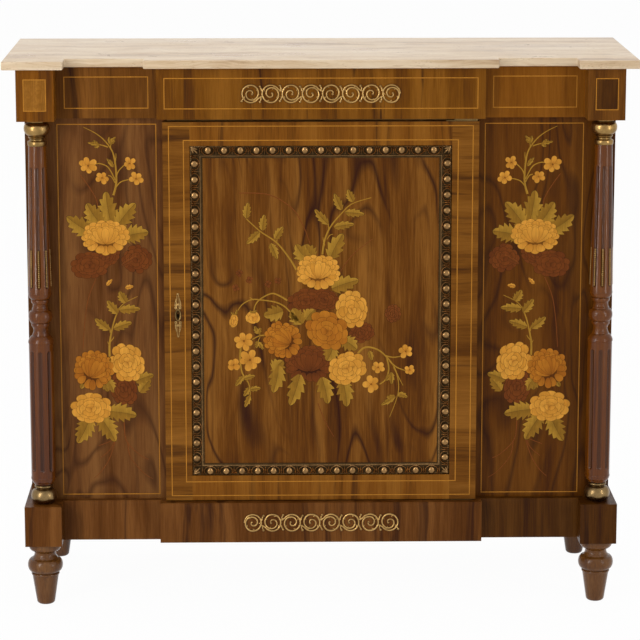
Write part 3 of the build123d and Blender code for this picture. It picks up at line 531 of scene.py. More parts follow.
def swell(start, end, bulge, steps=10):
    """(height, radius) pairs of a rounded member between two pairs, the ends included."""
    pairs = []
    for k in range(steps + 1):
        turn = pi * k / steps
        share = (1 - cos(turn)) / 2
        pairs.append((start[0] + (end[0] - start[0]) * share,
                      start[1] + (end[1] - start[1]) * share + bulge * sin(turn)))
    return pairs


def flute_angles(half_width, inside=12, outside=5):
    """Angles round a fluted shaft, closer together inside the flutes."""
    angles = []
    for flute in range(flutes):
        middle = -pi / 2 + flute * flute_step
        angles += [middle - half_width + 2 * half_width * k / inside for k in range(inside)]
        rest = flute_step - 2 * half_width
        angles += [middle + half_width + rest * k / outside for k in range(outside)]
    return angles


def fluted(low, high, tool, stand_off):
    """Cuts round-ended flutes with a ball of the tool's radius, run along the shaft."""
    def radius(z, r, angle):
        offset = (angle + pi / 2 + flute_step / 2) % flute_step - flute_step / 2
        centre = r + stand_off
        past = max(low - z, z - high, 0)
        if past >= tool:
            return r
        reach = sqrt(tool * tool - past * past)
        side = centre * sin(offset)
        if abs(side) >= reach:
            return r
        return min(r, centre * cos(offset) - sqrt(reach * reach - side * side))
    return radius


def levels(low, high, step):
    count = max(1, ceil((high - low) / step))
    return [low + (high - low) * k / count for k in range(count + 1)]


lower_shafts, upper_shafts, bases, caps, strings = Shape(), Shape(), Shape(), Shape(), Shape()
lower_profile = [(236, 15), (237, 17.6), (238.5, 18.6)] + swell((239.5, 18.8), (251, column_radius), 1.9, 8)
lower_profile += [(z, column_radius) for z in levels(255, 275, 1)]
lower_profile += [(z, column_radius) for z in levels(285, 478, 24)]
lower_profile += [(z, column_radius) for z in levels(487, 508, 1)]
lower_profile += swell((512, column_radius), (527, 16.4), 3, 8)
lower_profile += [(528.5, 15.8), (531, 15.4), (533, 14.2), (537, 13.6), (541, 14.4), (543.5, 15.8),
                  (546, 17.4), (549, 17.6), (551, 16.6)]
lower_profile += swell((551.5, 16.8), (575, 16.8), 6, 14)
lower_profile += [(576, 15.9), (578.5, 15.9), (579.5, 14.8), (583, 14.2), (587, 14.2), (588.5, 15.2),
                  (590, 16.6), (594, 17.2), (596, 16.6)]
upper_profile = [(596, 15.4), (597, 17.6)] + swell((598, 18.4), taper_start, 1.4, 7)


def taper(z):
    share = (z - taper_start[0]) / (taper_end[0] - taper_start[0])
    return taper_start[1] + (taper_end[1] - taper_start[1]) * share


upper_profile += [(z, taper(z)) for z in levels(611, 628, 1)]
upper_profile += [(z, taper(z)) for z in levels(640, 832, 24)]
upper_profile += [(z, taper(z)) for z in levels(839, 855, 1)]
upper_profile += [(870, taper(870)), taper_end]
base_profile = [(199, 13), (200.5, 15.5)] + swell((201, 16), (228, 15.5), 8.6, 18)
base_profile += [(229, 14.6), (230, 15.2), (231.5, 17.2), (233, 17.6), (234.5, 17.2), (236, 15.4)]
cap_profile = [(888, 16.6), (889, 17.7), (895.5, 17.9), (896.8, 17.2), (898, 14.6), (899.2, 13.6),
               (901, 13.5), (902, 14.2), (903, 15.8), (904.3, 16.6), (905.6, 15.8), (906.6, 14.4)]
cap_profile += swell((907.2, 14.6), (931.5, 16.6), 8.8, 18) + [(932.2, 17.4), (934, 18.4), (937, 18.4)]


def ring_tints(profile, dark=0.62):
    """Painted shade, darker in the hollows between the members of a turned piece, with a faint painted
    highlight on the widest.
    """
    widest = max(r for z, r in profile)
    narrowest = min(r for z, r in profile)
    return [scaled(white, dark + (1.08 - dark) * ((r - narrowest) / (widest - narrowest)) ** 0.7)
            for z, r in profile]


# Half of what a flute takes up round the shaft and a little more, for a middling radius of the upper shaft
upper_flute_radius = 18.1
lower_half_width = asin(lower_flute["tool"] / (column_radius + lower_flute["stand_off"])) * 1.02
upper_half_width = asin(upper_flute["tool"] / (upper_flute_radius + upper_flute["stand_off"])) * 1.05
first_bead, bead_pitch, beads_in_string, bead_seat, bead_radii = 622.5, 3.75, 19, 0.9, (2.3, 2.3, 2.1)
for place in ((-column_x, column_y), (column_x, column_y)):
    lower_shafts.lathe(place, lower_profile, flute_angles(lower_half_width), fluted(**lower_flute))
    upper_shafts.lathe(place, upper_profile, flute_angles(upper_half_width), fluted(**upper_flute))
    bases.lathe(place, base_profile, 56, tints=ring_tints(base_profile))
    caps.lathe(place, cap_profile, 56, tints=ring_tints(cap_profile))
    for flute in range(flutes):
        angle = -pi / 2 + flute * flute_step
        for bead in range(beads_in_string):
            z = first_bead + bead_pitch * bead
            seat = taper(z) - bead_seat
            spot = (place[0] + seat * cos(angle), place[1] + seat * sin(angle), z)
            strings.ball(spot, bead_radii, 5, 8)
piece("lower_shafts", lower_shafts, turned, "carcass", ("column_lower_shafts",), 35)
piece("upper_shafts", upper_shafts, turned, "carcass", ("column_upper_shafts",), 35)
piece("brass_bases", bases, worn_brass, "carcass", ("column_bases",), 50)
piece("brass_caps", caps, brass, "carcass", ("column_caps",), 50)
piece("bead_strings", strings, brass, "carcass", ("flute_beads",), 60)

# Feet
foot_profile = [(0, 12), (0.6, 13.8), (2.2, 16), (4.5, 17.3)]
foot_profile += [(z, 17.3 + (25.2 - 17.3) * (z - 4.5) / 52.5) for z in levels(10, 57, 8)]
foot_profile += swell((57.6, 25.3), (62, 25.6), 1.5, 6) + [(62.6, 24.6), (63.6, 24.6)]
foot_profile += swell((64, 25.4), (90.2, 25.7), 8, 16)
foot_profile += [(91, 24.4), (92.6, 23.8), (95, 21.6), (98, 20.6), (101.5, 20.4), (104, 21.4),
                 (105.5, 24), (106.4, 26.2)]
foot_profile += [(108, 28.2), (110.5, 30), (113, 30.7), (118, 30.7), (121, 30.4)]
feet_front, feet_rear = Shape(), Shape()
rear_foot_x, rear_foot_y = 525, 165
for side in (-1, 1):
    feet_front.lathe((side * column_x, column_y), foot_profile, 56)
    feet_rear.lathe((side * rear_foot_x, rear_foot_y), foot_profile, 56)
foot_wood = wood("foot_mahogany", (80, 46, 20), (102, 64, 32), (126, 86, 50), (54, 28, 10),
                 streaks=0.4, roughness=0.20, shift=3.5, shine=0.28)
piece("front_feet", feet_front, foot_wood, "carcass", ("feet_front",), 40)
piece("rear_feet", feet_rear, foot_wood, "carcass", ("feet_rear",), 40)

# Stringing lines
line_tint = rgb(180, 120, 40)


def line_frame(shape, left, right, low, high, face, wide=1.7, proud=0.15):
    """A closed rectangle of thin light wood let into a face, mitred at its corners."""
    outer = [(left - wide / 2, low - wide / 2), (right + wide / 2, low - wide / 2),
             (right + wide / 2, high + wide / 2), (left - wide / 2, high + wide / 2)]
    inner = [(left + wide / 2, low + wide / 2), (right - wide / 2, low + wide / 2),
             (right - wide / 2, high - wide / 2), (left + wide / 2, high - wide / 2)]
    points = [(x, y, z) for y in (face - proud, face + 0.4) for ring in (outer, inner) for x, z in ring]
    faces = []
    for i in range(4):
        j = (i + 1) % 4
        faces += [(i, j, 4 + j, 4 + i), (8 + i, 12 + i, 12 + j, 8 + j), (i, 8 + i, 8 + j, j),
                  (4 + i, 4 + j, 12 + j, 12 + i)]
    shape.add(points, faces, line_tint)


# (nearer and further edge from the middle, lowest, highest, face)
side_frames = ((510, 551, 957, 1015, block_face), (323, 479, 956, 1014.5, side_frieze_face),
               (309.5, 494.5, 208, 924, side_panel_face))
carcass_lines, door_lines, drawer_lines = Shape(), Shape(), Shape()
for side in (-1, 1):
    for near, far, low, high, face in side_frames:
        line_frame(carcass_lines, *sorted((side * near, side * far)), low, high, face)
line_frame(drawer_lines, -292, 292, 957.6, 1014.4, centre_face)
line_frame(door_lines, -285, 285, 210.5, 923, door_face)
line_frame(door_lines, -257.4, 257.4, 237.7, 896.4, door_face)
# the right block's infill takes the darker plinth wood, partly painted shade of the light from the left
for side, infill, name in ((-1, light_block_wood, "left"), (1, right_plinth_wood_and_shade, "right")):
    plaque = Shape()
    low_x, high_x = sorted((side * 511, side * 550))
    outline = [(low_x, 958), (high_x, 958), (high_x, 1014), (low_x, 1014)]
    plaque.prism(outline, block_face - 0.08, block_face + 0.3)
    piece("block_infill_" + name, plaque, infill, "carcass")
piece("carcass_stringing", carcass_lines, inlay, "carcass")
piece("door_stringing", door_lines, inlay, "door")
piece("drawer_stringing", drawer_lines, inlay, "drawer")

# Marquetry
yellow = [rgb(220, 156, 60), rgb(200, 136, 46), rgb(162, 98, 28)]
orange = [rgb(184, 116, 32), rgb(166, 98, 24), rgb(124, 66, 14)]
red = [rgb(118, 62, 20), rgb(106, 53, 17), rgb(82, 39, 11)]
leafy = [rgb(174, 130, 44), rgb(148, 106, 32), rgb(110, 74, 20)]
faint = [rgb(122, 66, 23), rgb(112, 58, 20), rgb(90, 46, 15)]


def turned_about(centre, x, z, turn):
    return (centre[0] + x * cos(turn) - z * sin(turn), centre[1] + x * sin(turn) + z * cos(turn))


class Picture:
    """Marquetry on one panel. Places and flowers are in pixels of the photograph, widths in millimetres."""

    def __init__(self, face, middle, across, level_pixel, level, up, mirror=False):
        self.shape = Shape()
        self.face = face
        self.middle, self.across = middle, across
        self.level_pixel, self.level, self.up = level_pixel, level, up
        self.mirror = mirror
        self.seed = 1
        self.count = 0

    def spot(self, x, y):
        return ((x - self.middle) * self.across, self.level - (y - self.level_pixel) * self.up)

    def chance(self):
        self.seed += 1
        return scatter(self.seed)

    def depth(self, layer):
        """How far forward a layer's plate is, each a hair apart so that no two faces share a plane."""
        self.count += 1
        return self.face - 0.12 - 0.05 * layer - 0.0096 * ((self.count * 0.618034) % 1)

    def plate(self, rim, hub, layer, rim_tints, hub_tint):
        if self.mirror:
            rim, hub = [(-x, z) for x, z in rim], (-hub[0], hub[1])
        self.shape.button(rim, hub, self.depth(layer), self.face + 0.3, rim_tints, hub_tint)

    def ribbon(self, left, right, layer, left_tints, right_tints):
        if self.mirror:
            left, right = [(-x, z) for x, z in left], [(-x, z) for x, z in right]
        self.shape.strip(left, right, self.depth(layer), self.face + 0.3, left_tints, right_tints)

    def petal(self, centre, hub, angle, length, wide, layer, colours, squash, turn, line=0.5):
        """One rounded petal, fuller towards its tip, with a dark line round it."""
        rim_tone = blend(colours[0], colours[1], self.chance())
        root_tone = blend(colours[2], rim_tone, 0.2)
        for grow, lower in ((line, 0.25), (0, 0)):
            rim, tints = [], []
            for theta in turns(16):
                share = 0.5 - 0.5 * cos(theta)
                u = -grow + (length + 2 * grow) * share
                v = (wide + grow) * sin(theta) * (0.66 + 0.44 * share)
                x = (hub[0] + u * cos(angle) - v * sin(angle)) * squash[0]
                z = (hub[1] + u * sin(angle) + v * cos(angle)) * squash[1]
                rim.append(turned_about(centre, x, z, turn))
                tints.append(scaled(colours[2], 0.34) if grow else blend(root_tone, rim_tone, share ** 0.6))
            middle = (sum(x for x, z in rim) / len(rim), sum(z for x, z in rim) / len(rim))
            heart = tints[0] if grow else blend(root_tone, rim_tone, 0.75)
            self.plate(rim, middle, layer - lower, tints, heart)

    def disc(self, centre, radius, layer, colour, squash, turn):
        rim = []
        for theta in turns(24):
            x, z = radius * cos(theta) * squash[0], radius * sin(theta) * squash[1]
            rim.append(turned_about(centre, x, z, turn))
        self.plate(rim, centre, layer, [colour] * len(rim), colour)

    def ring(self, centre, hubs, tips, count, start, sweep, layer, colours, squash, turn, line=0.5, full=1):
        """Petals that overlap in turn, from the radius hubs to the radius tips."""
        step = sweep / count
        for k in range(count):
            angle = start + step * (k + 0.5) + (self.chance() - 0.5) * step * 0.4
            length = (tips - hubs) * (0.87 + 0.22 * self.chance())
            wide = tips * sin(min(step, pi / 2) / 2) * (1 + 0.12 * self.chance()) * full
            hub = (hubs * cos(angle), hubs * sin(angle))
            self.petal(centre, hub, angle, length, wide, layer + 0.5 * (k % 2), colours, squash, turn, line)

    def rose(self, x, y, wide, high, colours, turn=0, layer=2):
        """A full rosette of four rings."""
        centre = self.spot(x, y)
        size = wide * self.across
        squash = (1, high * self.up / size)
        turn = radians(turn)
        full = 2 * pi
        self.disc(centre, size * 0.88, layer - 0.5, scaled(colours[2], 0.5), squash, turn)
        self.ring(centre, size * 0.42, size, 11, 0.2, full, layer, colours, squash, turn)
        self.ring(centre, size * 0.22, size * 0.76, 8, 0.5, full, layer + 1, colours, squash, turn)
        self.ring(centre, size * 0.02, size * 0.52, 5, 0.1, full, layer + 2, colours, squash, turn)
        self.ring(centre, 0, size * 0.27, 3, 0.4, full, layer + 3, colours, squash, turn)

    def peony(self, x, y, wide, high, colours, turn=0, layer=2):
        """An open flower: a scalloped saucer with a cup of tall petals standing in it."""
        centre = self.spot(x, y)
        size = wide * self.across
        squash = (1, high * self.up / size)
        turn = radians(turn)
        self.disc(centre, size * 0.88, layer - 0.5, scaled(colours[2], 0.5), squash, turn)
        self.ring(centre, size * 0.50, size, 17, 0.1, 2 * pi, layer, colours, squash, turn)
        self.ring(centre, size * 0.34, size * 0.84, 11, radians(-35), radians(250), layer + 1, colours,
                  squash, turn)
        cup = (0, -size * 0.40)
        self.ring(centre, size * 0.10, size * 0.66, 7, radians(-10), radians(200), layer + 2, colours,
                  squash, turn)
        fan = ((38, 0.74), (142, 0.74), (56, 0.88), (124, 0.88), (74, 0.96), (106, 0.96), (90, 0.90))
        for order, (angle, length) in enumerate(fan):
            self.petal(centre, cup, radians(angle), size * length, size * 0.17, layer + 3 + 0.5 * order,
                       colours, squash, turn, 0.4)

    def blossom(self, x, y, radius, turn=0, petals=6, colours=yellow, layer=2):
        centre = self.spot(x, y)
        size = radius * self.across
        self.ring(centre, size * 0.02, size * 1.04, petals - 1, radians(turn), 2 * pi, layer, colours,
                  (1, 1), 0, 0.3, 0.66)
        self.disc(centre, size * 0.12, layer + 1, scaled(colours[2], 0.6), (1, 1), 0)

    def leaf(self, tip_x, tip_y, base_x, base_y, wide, colours=leafy, layer=1, teeth=5):
        """A toothed leaf in two halves with a dark midrib between them."""
        tip, base = Vector(self.spot(tip_x, tip_y)), Vector(self.spot(base_x, base_y))
        run = tip - base
        side = Vector((-run.y, run.x)).normalized()
        per_tooth = 4
        count = teeth * per_tooth
        for hand in (-1, 1):
            for extra, lower, tinted in ((0.5, 0.5, False), (0, 0, True)):
                middle_line, edge, rib, rim = [], [], [], []
                for k in range(count + 1):
                    t = k / count
                    rise = (k % per_tooth) / (per_tooth - 1)
                    body = (t + 0.02) ** 0.55 * (1 - t) ** 0.85 / 0.385
                    reach = wide * body * (0.66 + 0.46 * rise) + extra
                    slant = run * (0.06 * rise * body)
                    spine = base + run * (t * (1 + extra * 0.02))
                    bend = side * (sin(pi * t) * wide * 0.10)
                    middle_line.append(tuple(spine + bend + side * hand * (0.22 if tinted else 0)))
                    edge.append(tuple(spine + slant + bend + side * hand * max(reach, 0.35)))
                    shade = colours[0] if hand > 0 else colours[1]
                    rim.append(shade if tinted else scaled(colours[2], 0.4))
                    rib.append(blend(shade, colours[2], 0.45) if tinted else scaled(colours[2], 0.4))
                self.ribbon(middle_line, edge, layer - lower, rib, rim)

    def stem(self, points, wide=1.7, end=0.7, colours=leafy, layer=0):
        line = curve_through([self.spot(x, y) for x, y in points], 6)
        count = len(line)
        left, right = [], []
        for i, (x, z) in enumerate(line):
            before, after = line[max(i - 1, 0)], line[min(i + 1, count - 1)]
            dx, dz = after[0] - before[0], after[1] - before[1]
            size = hypot(dx, dz)
            half = (wide + (end - wide) * i / (count - 1)) / 2 * 1.25
            left.append((x - dz / size * half, z + dx / size * half))
            right.append((x + dz / size * half, z - dx / size * half))
        self.ribbon(left, right, layer, [colours[0]] * count, [colours[1]] * count)

    def bud(self, x, y, wide, high, turn, colours=yellow):
        centre = self.spot(x, y)
        size = wide * self.across
        squash = (1, high / wide)
        self.ring(centre, 0, size, 5, 0.2, 2 * pi, 2, colours, squash, radians(turn), 0.35)
        self.ring(centre, 0, size * 0.6, 3, 0.6, 2 * pi, 3, colours, squash, radians(turn), 0.3)

    def stems(self, rows, colours=leafy):
        for points, wide, end in rows:
            self.stem(points, wide, end, colours)

    def leaves(self, rows, wide, **more):
        for tip_x, tip_y, base_x, base_y in rows:
            self.leaf(tip_x, tip_y, base_x, base_y, wide, **more)

    def flowers(self, rows):
        for flower, *values in rows:
            flower(self, *values)

    def blossoms(self, rows):
        for x, y, radius, turn, petals in rows:
            self.blossom(x, y, radius, turn, petals)

    def buds(self, rows):
        for x, y, wide, high, turn in rows:
            self.bud(x, y, wide, high, turn)


# Rows below are places in pixels of the photograph. Stems: points, first width, last width. Leaves: x and y
# of the tip, then of the base. Flowers: kind, x, y, half width, half height, colours, turn, layer. Blossoms:
# x, y, radius, turn, petals, but x and y alone for the faint ones. Buds: x, y, half width, half height,
# turn. Turns are degrees.
door_faint_stems = [
    ([(240, 192), (270, 194), (293, 208), (304, 226), (310, 242)], 1.6, 1.2),
    ([(338, 274), (352, 254), (372, 238)], 1.4, 1),
    ([(318, 402), (325, 420), (334, 436)], 1.4, 1)]
door_faint_blossoms = [(240, 271), (250, 278), (268, 282), (278, 279), (236, 286)]
door_faint_flowers = [
    (Picture.rose, 393, 312, 8, 9, faint, 0, -1), (Picture.rose, 306, 300, 19, 13, red, 8, 0),
    (Picture.rose, 325, 298, 15, 11, red, -15, 0), (Picture.rose, 362, 331, 13, 10, red, 20, 0),
    (Picture.peony, 309, 362, 25, 19, red, 0, 0)]
door_upper_stems = [
    ([(296.5, 268), (290, 257), (277, 241), (261, 230), (247, 217.5)], 3, 1.4),
    ([(261, 230), (255, 232), (250, 236)], 1.4, 1),
    ([(277, 241), (278, 236), (280, 231)], 1.4, 1),
    ([(322.5, 253), (325, 238), (331, 225), (341, 213), (352, 203), (371, 197)], 3, 1),
    ([(325, 244), (323.5, 239), (323, 236)], 1.4, 0.8),
    ([(327, 238), (330, 234), (333, 233)], 1.4, 0.8),
    ([(329, 229), (328, 222), (327, 219)], 1.6, 1)]
door_upper_leaves = [
    (249, 201.5, 247, 217), (265, 213.5, 263, 229), (247, 242, 260, 230.5), (283.5, 225.5, 275.5, 237.5),
    (277.5, 257.5, 271, 242), (334.5, 193, 341.5, 209), (347.5, 189, 353, 201), (364, 213.5, 345, 211.5),
    (315, 208.5, 328, 223), (354, 223, 334, 226)]
door_left_stems = [
    ([(287.5, 298.5), (280, 294), (272, 291.5), (262, 296), (256, 302), (254, 309)], 2.6, 1.6),
    ([(290.5, 310), (284, 304), (275, 300), (262, 298), (252, 297.5), (243, 302), (237.5, 309)], 2.4,
      1.4),
    ([(254, 298), (251, 296), (250, 295.5)], 1.6, 0.8),
    ([(266, 333), (259, 334), (252, 337.5)], 2.2, 1.6),
    ([(261, 334), (258, 330), (257, 327)], 1.4, 1),
    ([(260, 335), (258, 340), (259, 344)], 1.4, 1)]
door_left_leaves = [
    (255, 324, 258, 332), (261, 326, 258, 332), (263, 347.5, 258, 340), (256, 346, 258, 339)]
door_low_left_stem = [
    ([(240.5, 346), (240, 358), (242, 371), (248, 381), (250, 390), (248.5, 398), (245, 405.5)], 3, 0.8)]
door_low_left_leaves = [
    (235, 384, 243, 374.5), (255, 374, 243.5, 377), (260.5, 386.5, 250, 388), (243.5, 394.5, 249, 386),
    (244.5, 405.5, 249.5, 394)]
door_right_stems = [
    ([(358, 352), (364, 346.5), (371, 346), (380, 349.5), (388, 357), (394, 365), (398, 376), (399, 388),
      (396, 401), (390, 416.5)], 3.2, 0.8),
    ([(386, 354.5), (394, 356), (403, 354.5)], 2.2, 1.6),
    ([(390, 360), (397, 366), (406, 369.5)], 2.2, 1.4),
    ([(387, 356), (389, 368), (386, 378), (380, 383)], 2.6, 1.8),
    ([(394, 366), (399, 376), (403.5, 384.5)], 2, 0.8)]
door_right_leaves = [
    (372, 359, 369.5, 349.5), (392, 383, 391.5, 371), (386, 379, 391, 374), (408, 396.5, 400, 392.5),
    (403, 391, 399.5, 396), (381.5, 404, 395, 396.5), (387, 396, 396, 396)]
door_large_leaves = [
    (296, 243, 308, 259), (305.5, 243, 313, 256), (343, 232.5, 330, 257), (358.5, 278.5, 332, 287),
    (264, 313.5, 283, 309), (293, 306.5, 302, 322), (315, 308, 306, 318), (273, 391, 279, 364),
    (290, 404, 300, 373), (328, 402.5, 322, 376), (347, 405.5, 343, 379), (357, 348, 343, 338),
    (327, 359, 333, 345), (283, 359, 274, 369)]
door_short_leaf = [(302, 321, 291, 309)]
door_flowers = [
    (Picture.rose, 352, 308, 16.5, 19, yellow, 8, 4),
    (Picture.peony, 283, 338, 18.5, 19.5, orange, 62, 4),
    (Picture.rose, 327, 329, 22, 19, orange, -30, 4), (Picture.peony, 318, 270, 22.5, 17.5, yellow, 0, 6),
    (Picture.rose, 347, 367, 20, 16.5, yellow, 18, 6)]
door_left_blossoms = [(244, 339, 9.5, 15, 7), (250, 358, 10.5, 40, 7), (233.5, 363, 6.5, 10, 5)]
door_buds = [(234, 319, 4.4, 7.2, -12), (253, 315.5, 7.2, 7, 0)]
door_bud_leaves = [
    (237.5, 307.5, 236, 313), (231, 310, 235, 313), (250, 308.5, 253, 311), (257, 308.5, 253.5, 311)]
door_right_blossoms = [
    (406, 350, 7, 0, 6), (378.5, 366, 6.5, 20, 6), (410, 368.5, 5.4, 30, 6), (371.5, 383, 8.4, 10, 6)]

side_faint_stems = [
    ([(84, 173), (92, 184), (99, 196), (101, 205)], 1.4, 1.2),
    ([(98, 275), (90, 295), (86, 320), (84, 345)], 1.4, 1),
    ([(124, 390), (124, 425), (127, 440), (140, 453), (148, 457)], 1.8, 1),
    ([(127, 440), (130, 455), (142, 470), (152, 477)], 1.4, 0.8),
    ([(116, 430), (112, 437), (98, 443)], 1.6, 0.9),
    ([(116, 432), (110, 446), (100, 455)], 1.6, 0.9),
    ([(116, 434), (109, 455), (101, 468), (93, 476)], 1.6, 0.9)]
side_faint_roses = [
    (Picture.rose, 92, 262, 19, 14, red, 5, 0), (Picture.rose, 139, 256, 15, 14, red, -10, 0),
    (Picture.rose, 108, 254, 15, 10, red, 25, -1), (Picture.rose, 124, 385, 14, 18, red, 10, 0)]
side_faint_leaf = [(143, 252, 124, 262)]
side_upper_stems = [
    ([(116.5, 193), (119.5, 181), (119, 164), (116, 150), (108, 139), (99, 132), (88, 126.5)], 3.4, 0.8),
    ([(118.5, 163), (119.5, 156), (119.5, 152)], 1.6, 0.8),
    ([(118.5, 178), (112, 166), (104, 162), (98.5, 162.5)], 1.8, 1.4),
    ([(118.5, 181), (115, 175), (111.5, 173.5)], 1.8, 1.4),
    ([(119, 178), (121.5, 170), (127.5, 163.5)], 1.8, 1.4),
    ([(118.5, 186), (124, 180), (133, 177.5)], 1.8, 1.4),
    ([(112, 146), (106, 144), (102, 143.5)], 1.8, 1.4),
    ([(114.5, 148), (114.5, 145), (115, 142)], 1.6, 1.2)]
side_twig_leaves = [
    (92, 141.5, 103, 143.5), (98, 139, 103, 145.5), (98.5, 146.5, 103, 143.5), (119.5, 136, 113, 143),
    (113, 136, 114, 142.5), (119, 140, 113, 143), (110.5, 157, 117, 165.5), (113.5, 158, 116.5, 165.5)]
side_blossoms = [
    (92, 164, 8.6, 10, 7), (105.5, 176, 6.4, 30, 6), (133, 162, 6.2, 0, 6), (139, 177, 6.8, 20, 6)]
side_upper_leaves = [
    (70, 214, 96, 231), (90, 201, 104, 222), (109, 189.5, 114, 221), (138, 201, 120, 223),
    (150.5, 229.5, 126, 234)]
side_upper_flower = [(Picture.peony, 108, 234, 24, 17.5, yellow, 0, 4)]
side_left_tip = [(114, 276, 108.5, 282)]
side_right_tip = [(135, 283, 127, 284.5)]
side_lower_stems = [
    ([(110.5, 353), (110.5, 341), (113, 327), (117, 313), (124, 301), (139, 293)], 3.4, 0.8),
    ([(111, 343), (109.5, 340), (108.5, 338)], 1.6, 0.8),
    ([(111.5, 338), (114, 335), (115, 333)], 1.6, 0.8),
    ([(111.5, 329), (111, 325), (109.5, 322)], 1.8, 1)]
side_stem_leaves = [
    (121, 288, 127.5, 299), (109, 297, 119, 310), (141.5, 305.5, 121, 306.5), (96.5, 315, 110, 326),
    (133, 319, 115, 325)]
side_right_leaves = [(154, 371.5, 136, 378), (151, 376, 140, 389)]
side_left_leaves = [(81, 385, 88, 371), (86, 384, 90, 372), (114, 389, 108, 376), (108, 388, 104, 376)]
side_lower_leaves = [(136.5, 412.5, 108, 408), (77, 440, 90, 414), (115, 438.5, 100, 414)]
side_lower_flowers = [
    (Picture.peony, 94, 366, 20.5, 20, orange, -25, 4), (Picture.rose, 128, 359, 17.5, 20, yellow, 15, 4),
    (Picture.rose, 91, 405, 20.5, 15.5, yellow, 5, 4)]


def door_picture():
    p = Picture(door_panel_face, middle=321, across=1.8975, level_pixel=310, level=568, up=1.934)
    p.stems(door_faint_stems, faint)
    for x, y in door_faint_blossoms:
        p.blossom(x, y, 3.6, 10 * x, 5, faint, layer=0)
    p.flowers(door_faint_flowers)
    p.stems(door_upper_stems)
    p.leaves(door_upper_leaves, 7.6, teeth=4)
    p.stems(door_left_stems)
    p.leaves(door_left_leaves, 4.4, teeth=3)
    p.stems(door_low_left_stem)
    p.leaves(door_low_left_leaves, 5.4, teeth=3)
    p.stems(door_right_stems)
    p.leaves(door_right_leaves, 5.2, teeth=3)
    p.leaves(door_large_leaves, 15, layer=2, teeth=4)
    p.leaves(door_short_leaf, 11, layer=2, teeth=4)
    p.flowers(door_flowers)
    p.blossoms(door_left_blossoms)
    p.buds(door_buds)
    p.leaves(door_bud_leaves, 2.2, teeth=2, layer=3)
    p.blossoms(door_right_blossoms)
    piece("door_marquetry", p.shape, inlay, "door", sharp=30)


def side_picture(mirror):
    p = Picture(side_panel_face, middle=321.2, across=1.908, level_pixel=310, level=562, up=1.944,
                mirror=mirror)
    p.stems(side_faint_stems, faint)
    p.flowers(side_faint_roses)
    p.leaves(side_faint_leaf, 5, colours=faint, layer=3)
    p.stems(side_upper_stems)
    p.leaves(side_twig_leaves, 3.4, teeth=3)
    p.blossoms(side_blossoms)
    p.leaves(side_upper_leaves, 17, layer=1, teeth=5)
    p.flowers(side_upper_flower)
    p.leaves(side_left_tip, 3.6, colours=yellow, teeth=3)
    p.leaves(side_right_tip, 4.2, colours=yellow, teeth=3)
    p.stems(side_lower_stems)
    p.leaves(side_stem_leaves, 8.6, layer=1, teeth=4)
    p.leaves(side_right_leaves, 11, layer=1, teeth=4)
    p.leaves(side_left_leaves, 9.5, layer=1, teeth=4)
    p.leaves(side_lower_leaves, 17, layer=1, teeth=5)
    p.flowers(side_lower_flowers)
    name = "right" if mirror else "left"
    piece(name + "_marquetry", p.shape, inlay, "carcass", sharp=30)


door_picture()
side_picture(False)
side_picture(True)


# Scroll mounts
frieze_middle, plinth_middle = 985.5, 160
volutes, volute_radius, volute_pitch = 8, 16.2, 37.4


def scroll_mount(face, level, flip):
    """A running scroll: volutes that curl in turn over and under one waving stem."""
    shape = Shape()
    for unit in range(volutes):
        hand = 1 if unit % 2 == 0 else -1
        cx = (unit - (volutes - 1) / 2) * volute_pitch
        lead = [(cx - volute_pitch + volute_radius * cos(radians(a)), -hand * volute_radius * sin(radians(a)))
                for a in (62, 40, 18)] if unit else []
        curl = []
        for k in range(46):
            t = k / 45
            angle = pi - t * 2 * pi * 2.05
            radius = volute_radius * (1 if t < 0.40 else 1 - 0.84 * (t - 0.40) / 0.60)
            curl.append((cx + radius * cos(angle), hand * radius * sin(angle)))
        line = curve_through([(x, -z) for x, z in lead] + curl[2:3], 4)[:-1] if lead else []
        line = [(x, z) for x, z in line] + curl[2 if lead else 0:]
        count = len(line)
        radii = [1.2 + 0.8 * sin(pi * min(1, 0.12 + 0.88 * i / count)) ** 0.6 for i in range(count)]
        placed = [(flip * x, level + z) for x, z in line]
        # the tints 0.4 to 1.5 paint shade on each strand's sides and a highlight on its crest
        shape.strand(placed, radii, face + 0.05, 1.5, 6, 0.4, 1.5)
        ex, ez = placed[-1]
        shape.ball((ex, face - 1.2, ez), (2.3, 1.9, 2.3), 6, 10)
        for at, grow in ((0.24, 1), (0.34, 1), (0.44, 0.95), (0.54, 0.8), (0.64, 0.7), (0.76, 0.6)):
            i = int(at * (count - 1))
            x, z = line[i]
            inward = Vector((cx - x, -z)).normalized()
            ahead = Vector((line[i + 1][0] - x, line[i + 1][1] - z)).normalized()
            tip = Vector((x, z)) + inward * 4.6 * grow + ahead * 5.2 * grow
            bend = Vector((x, z)) + inward * 1.6 * grow + ahead * 3.6 * grow
            leaf_line = curve_through([(x, z), tuple(bend), tuple(tip)], 4)
            shape.strand([(flip * u, level + w) for u, w in leaf_line],
                         [1.9 * grow * (1 - 0.6 * k / (len(leaf_line) - 1)) for k in range(len(leaf_line))],
                         face + 0.05, 1.3, 6, 0.4, 1.6)
        for up in (1, -1):
            x0 = cx + volute_pitch / 2
            reach = 13.6 if up == hand else 15
            if unit == volutes - 1 and up == -hand:
                continue
            sprig = curve_through([(x0 - 1.5 * up * hand, up * 5), (x0 - 0.4, up * 9.5),
                                   (x0 + 1.8, up * reach)], 4)
            if unit == volutes - 1:
                sprig = [(x - 3.6, z) for x, z in sprig]
            shape.strand([(flip * u, level + w) for u, w in sprig],
                         [2 - 0.8 * k / (len(sprig) - 1) for k in range(len(sprig))], face + 0.05, 1.3,
                         6, 0.4, 1.6)
            u, w = sprig[-1]
            shape.ball((flip * u, face - 0.9, level + w), (2.5, 1.9, 2.5), 6, 9)
    return shape


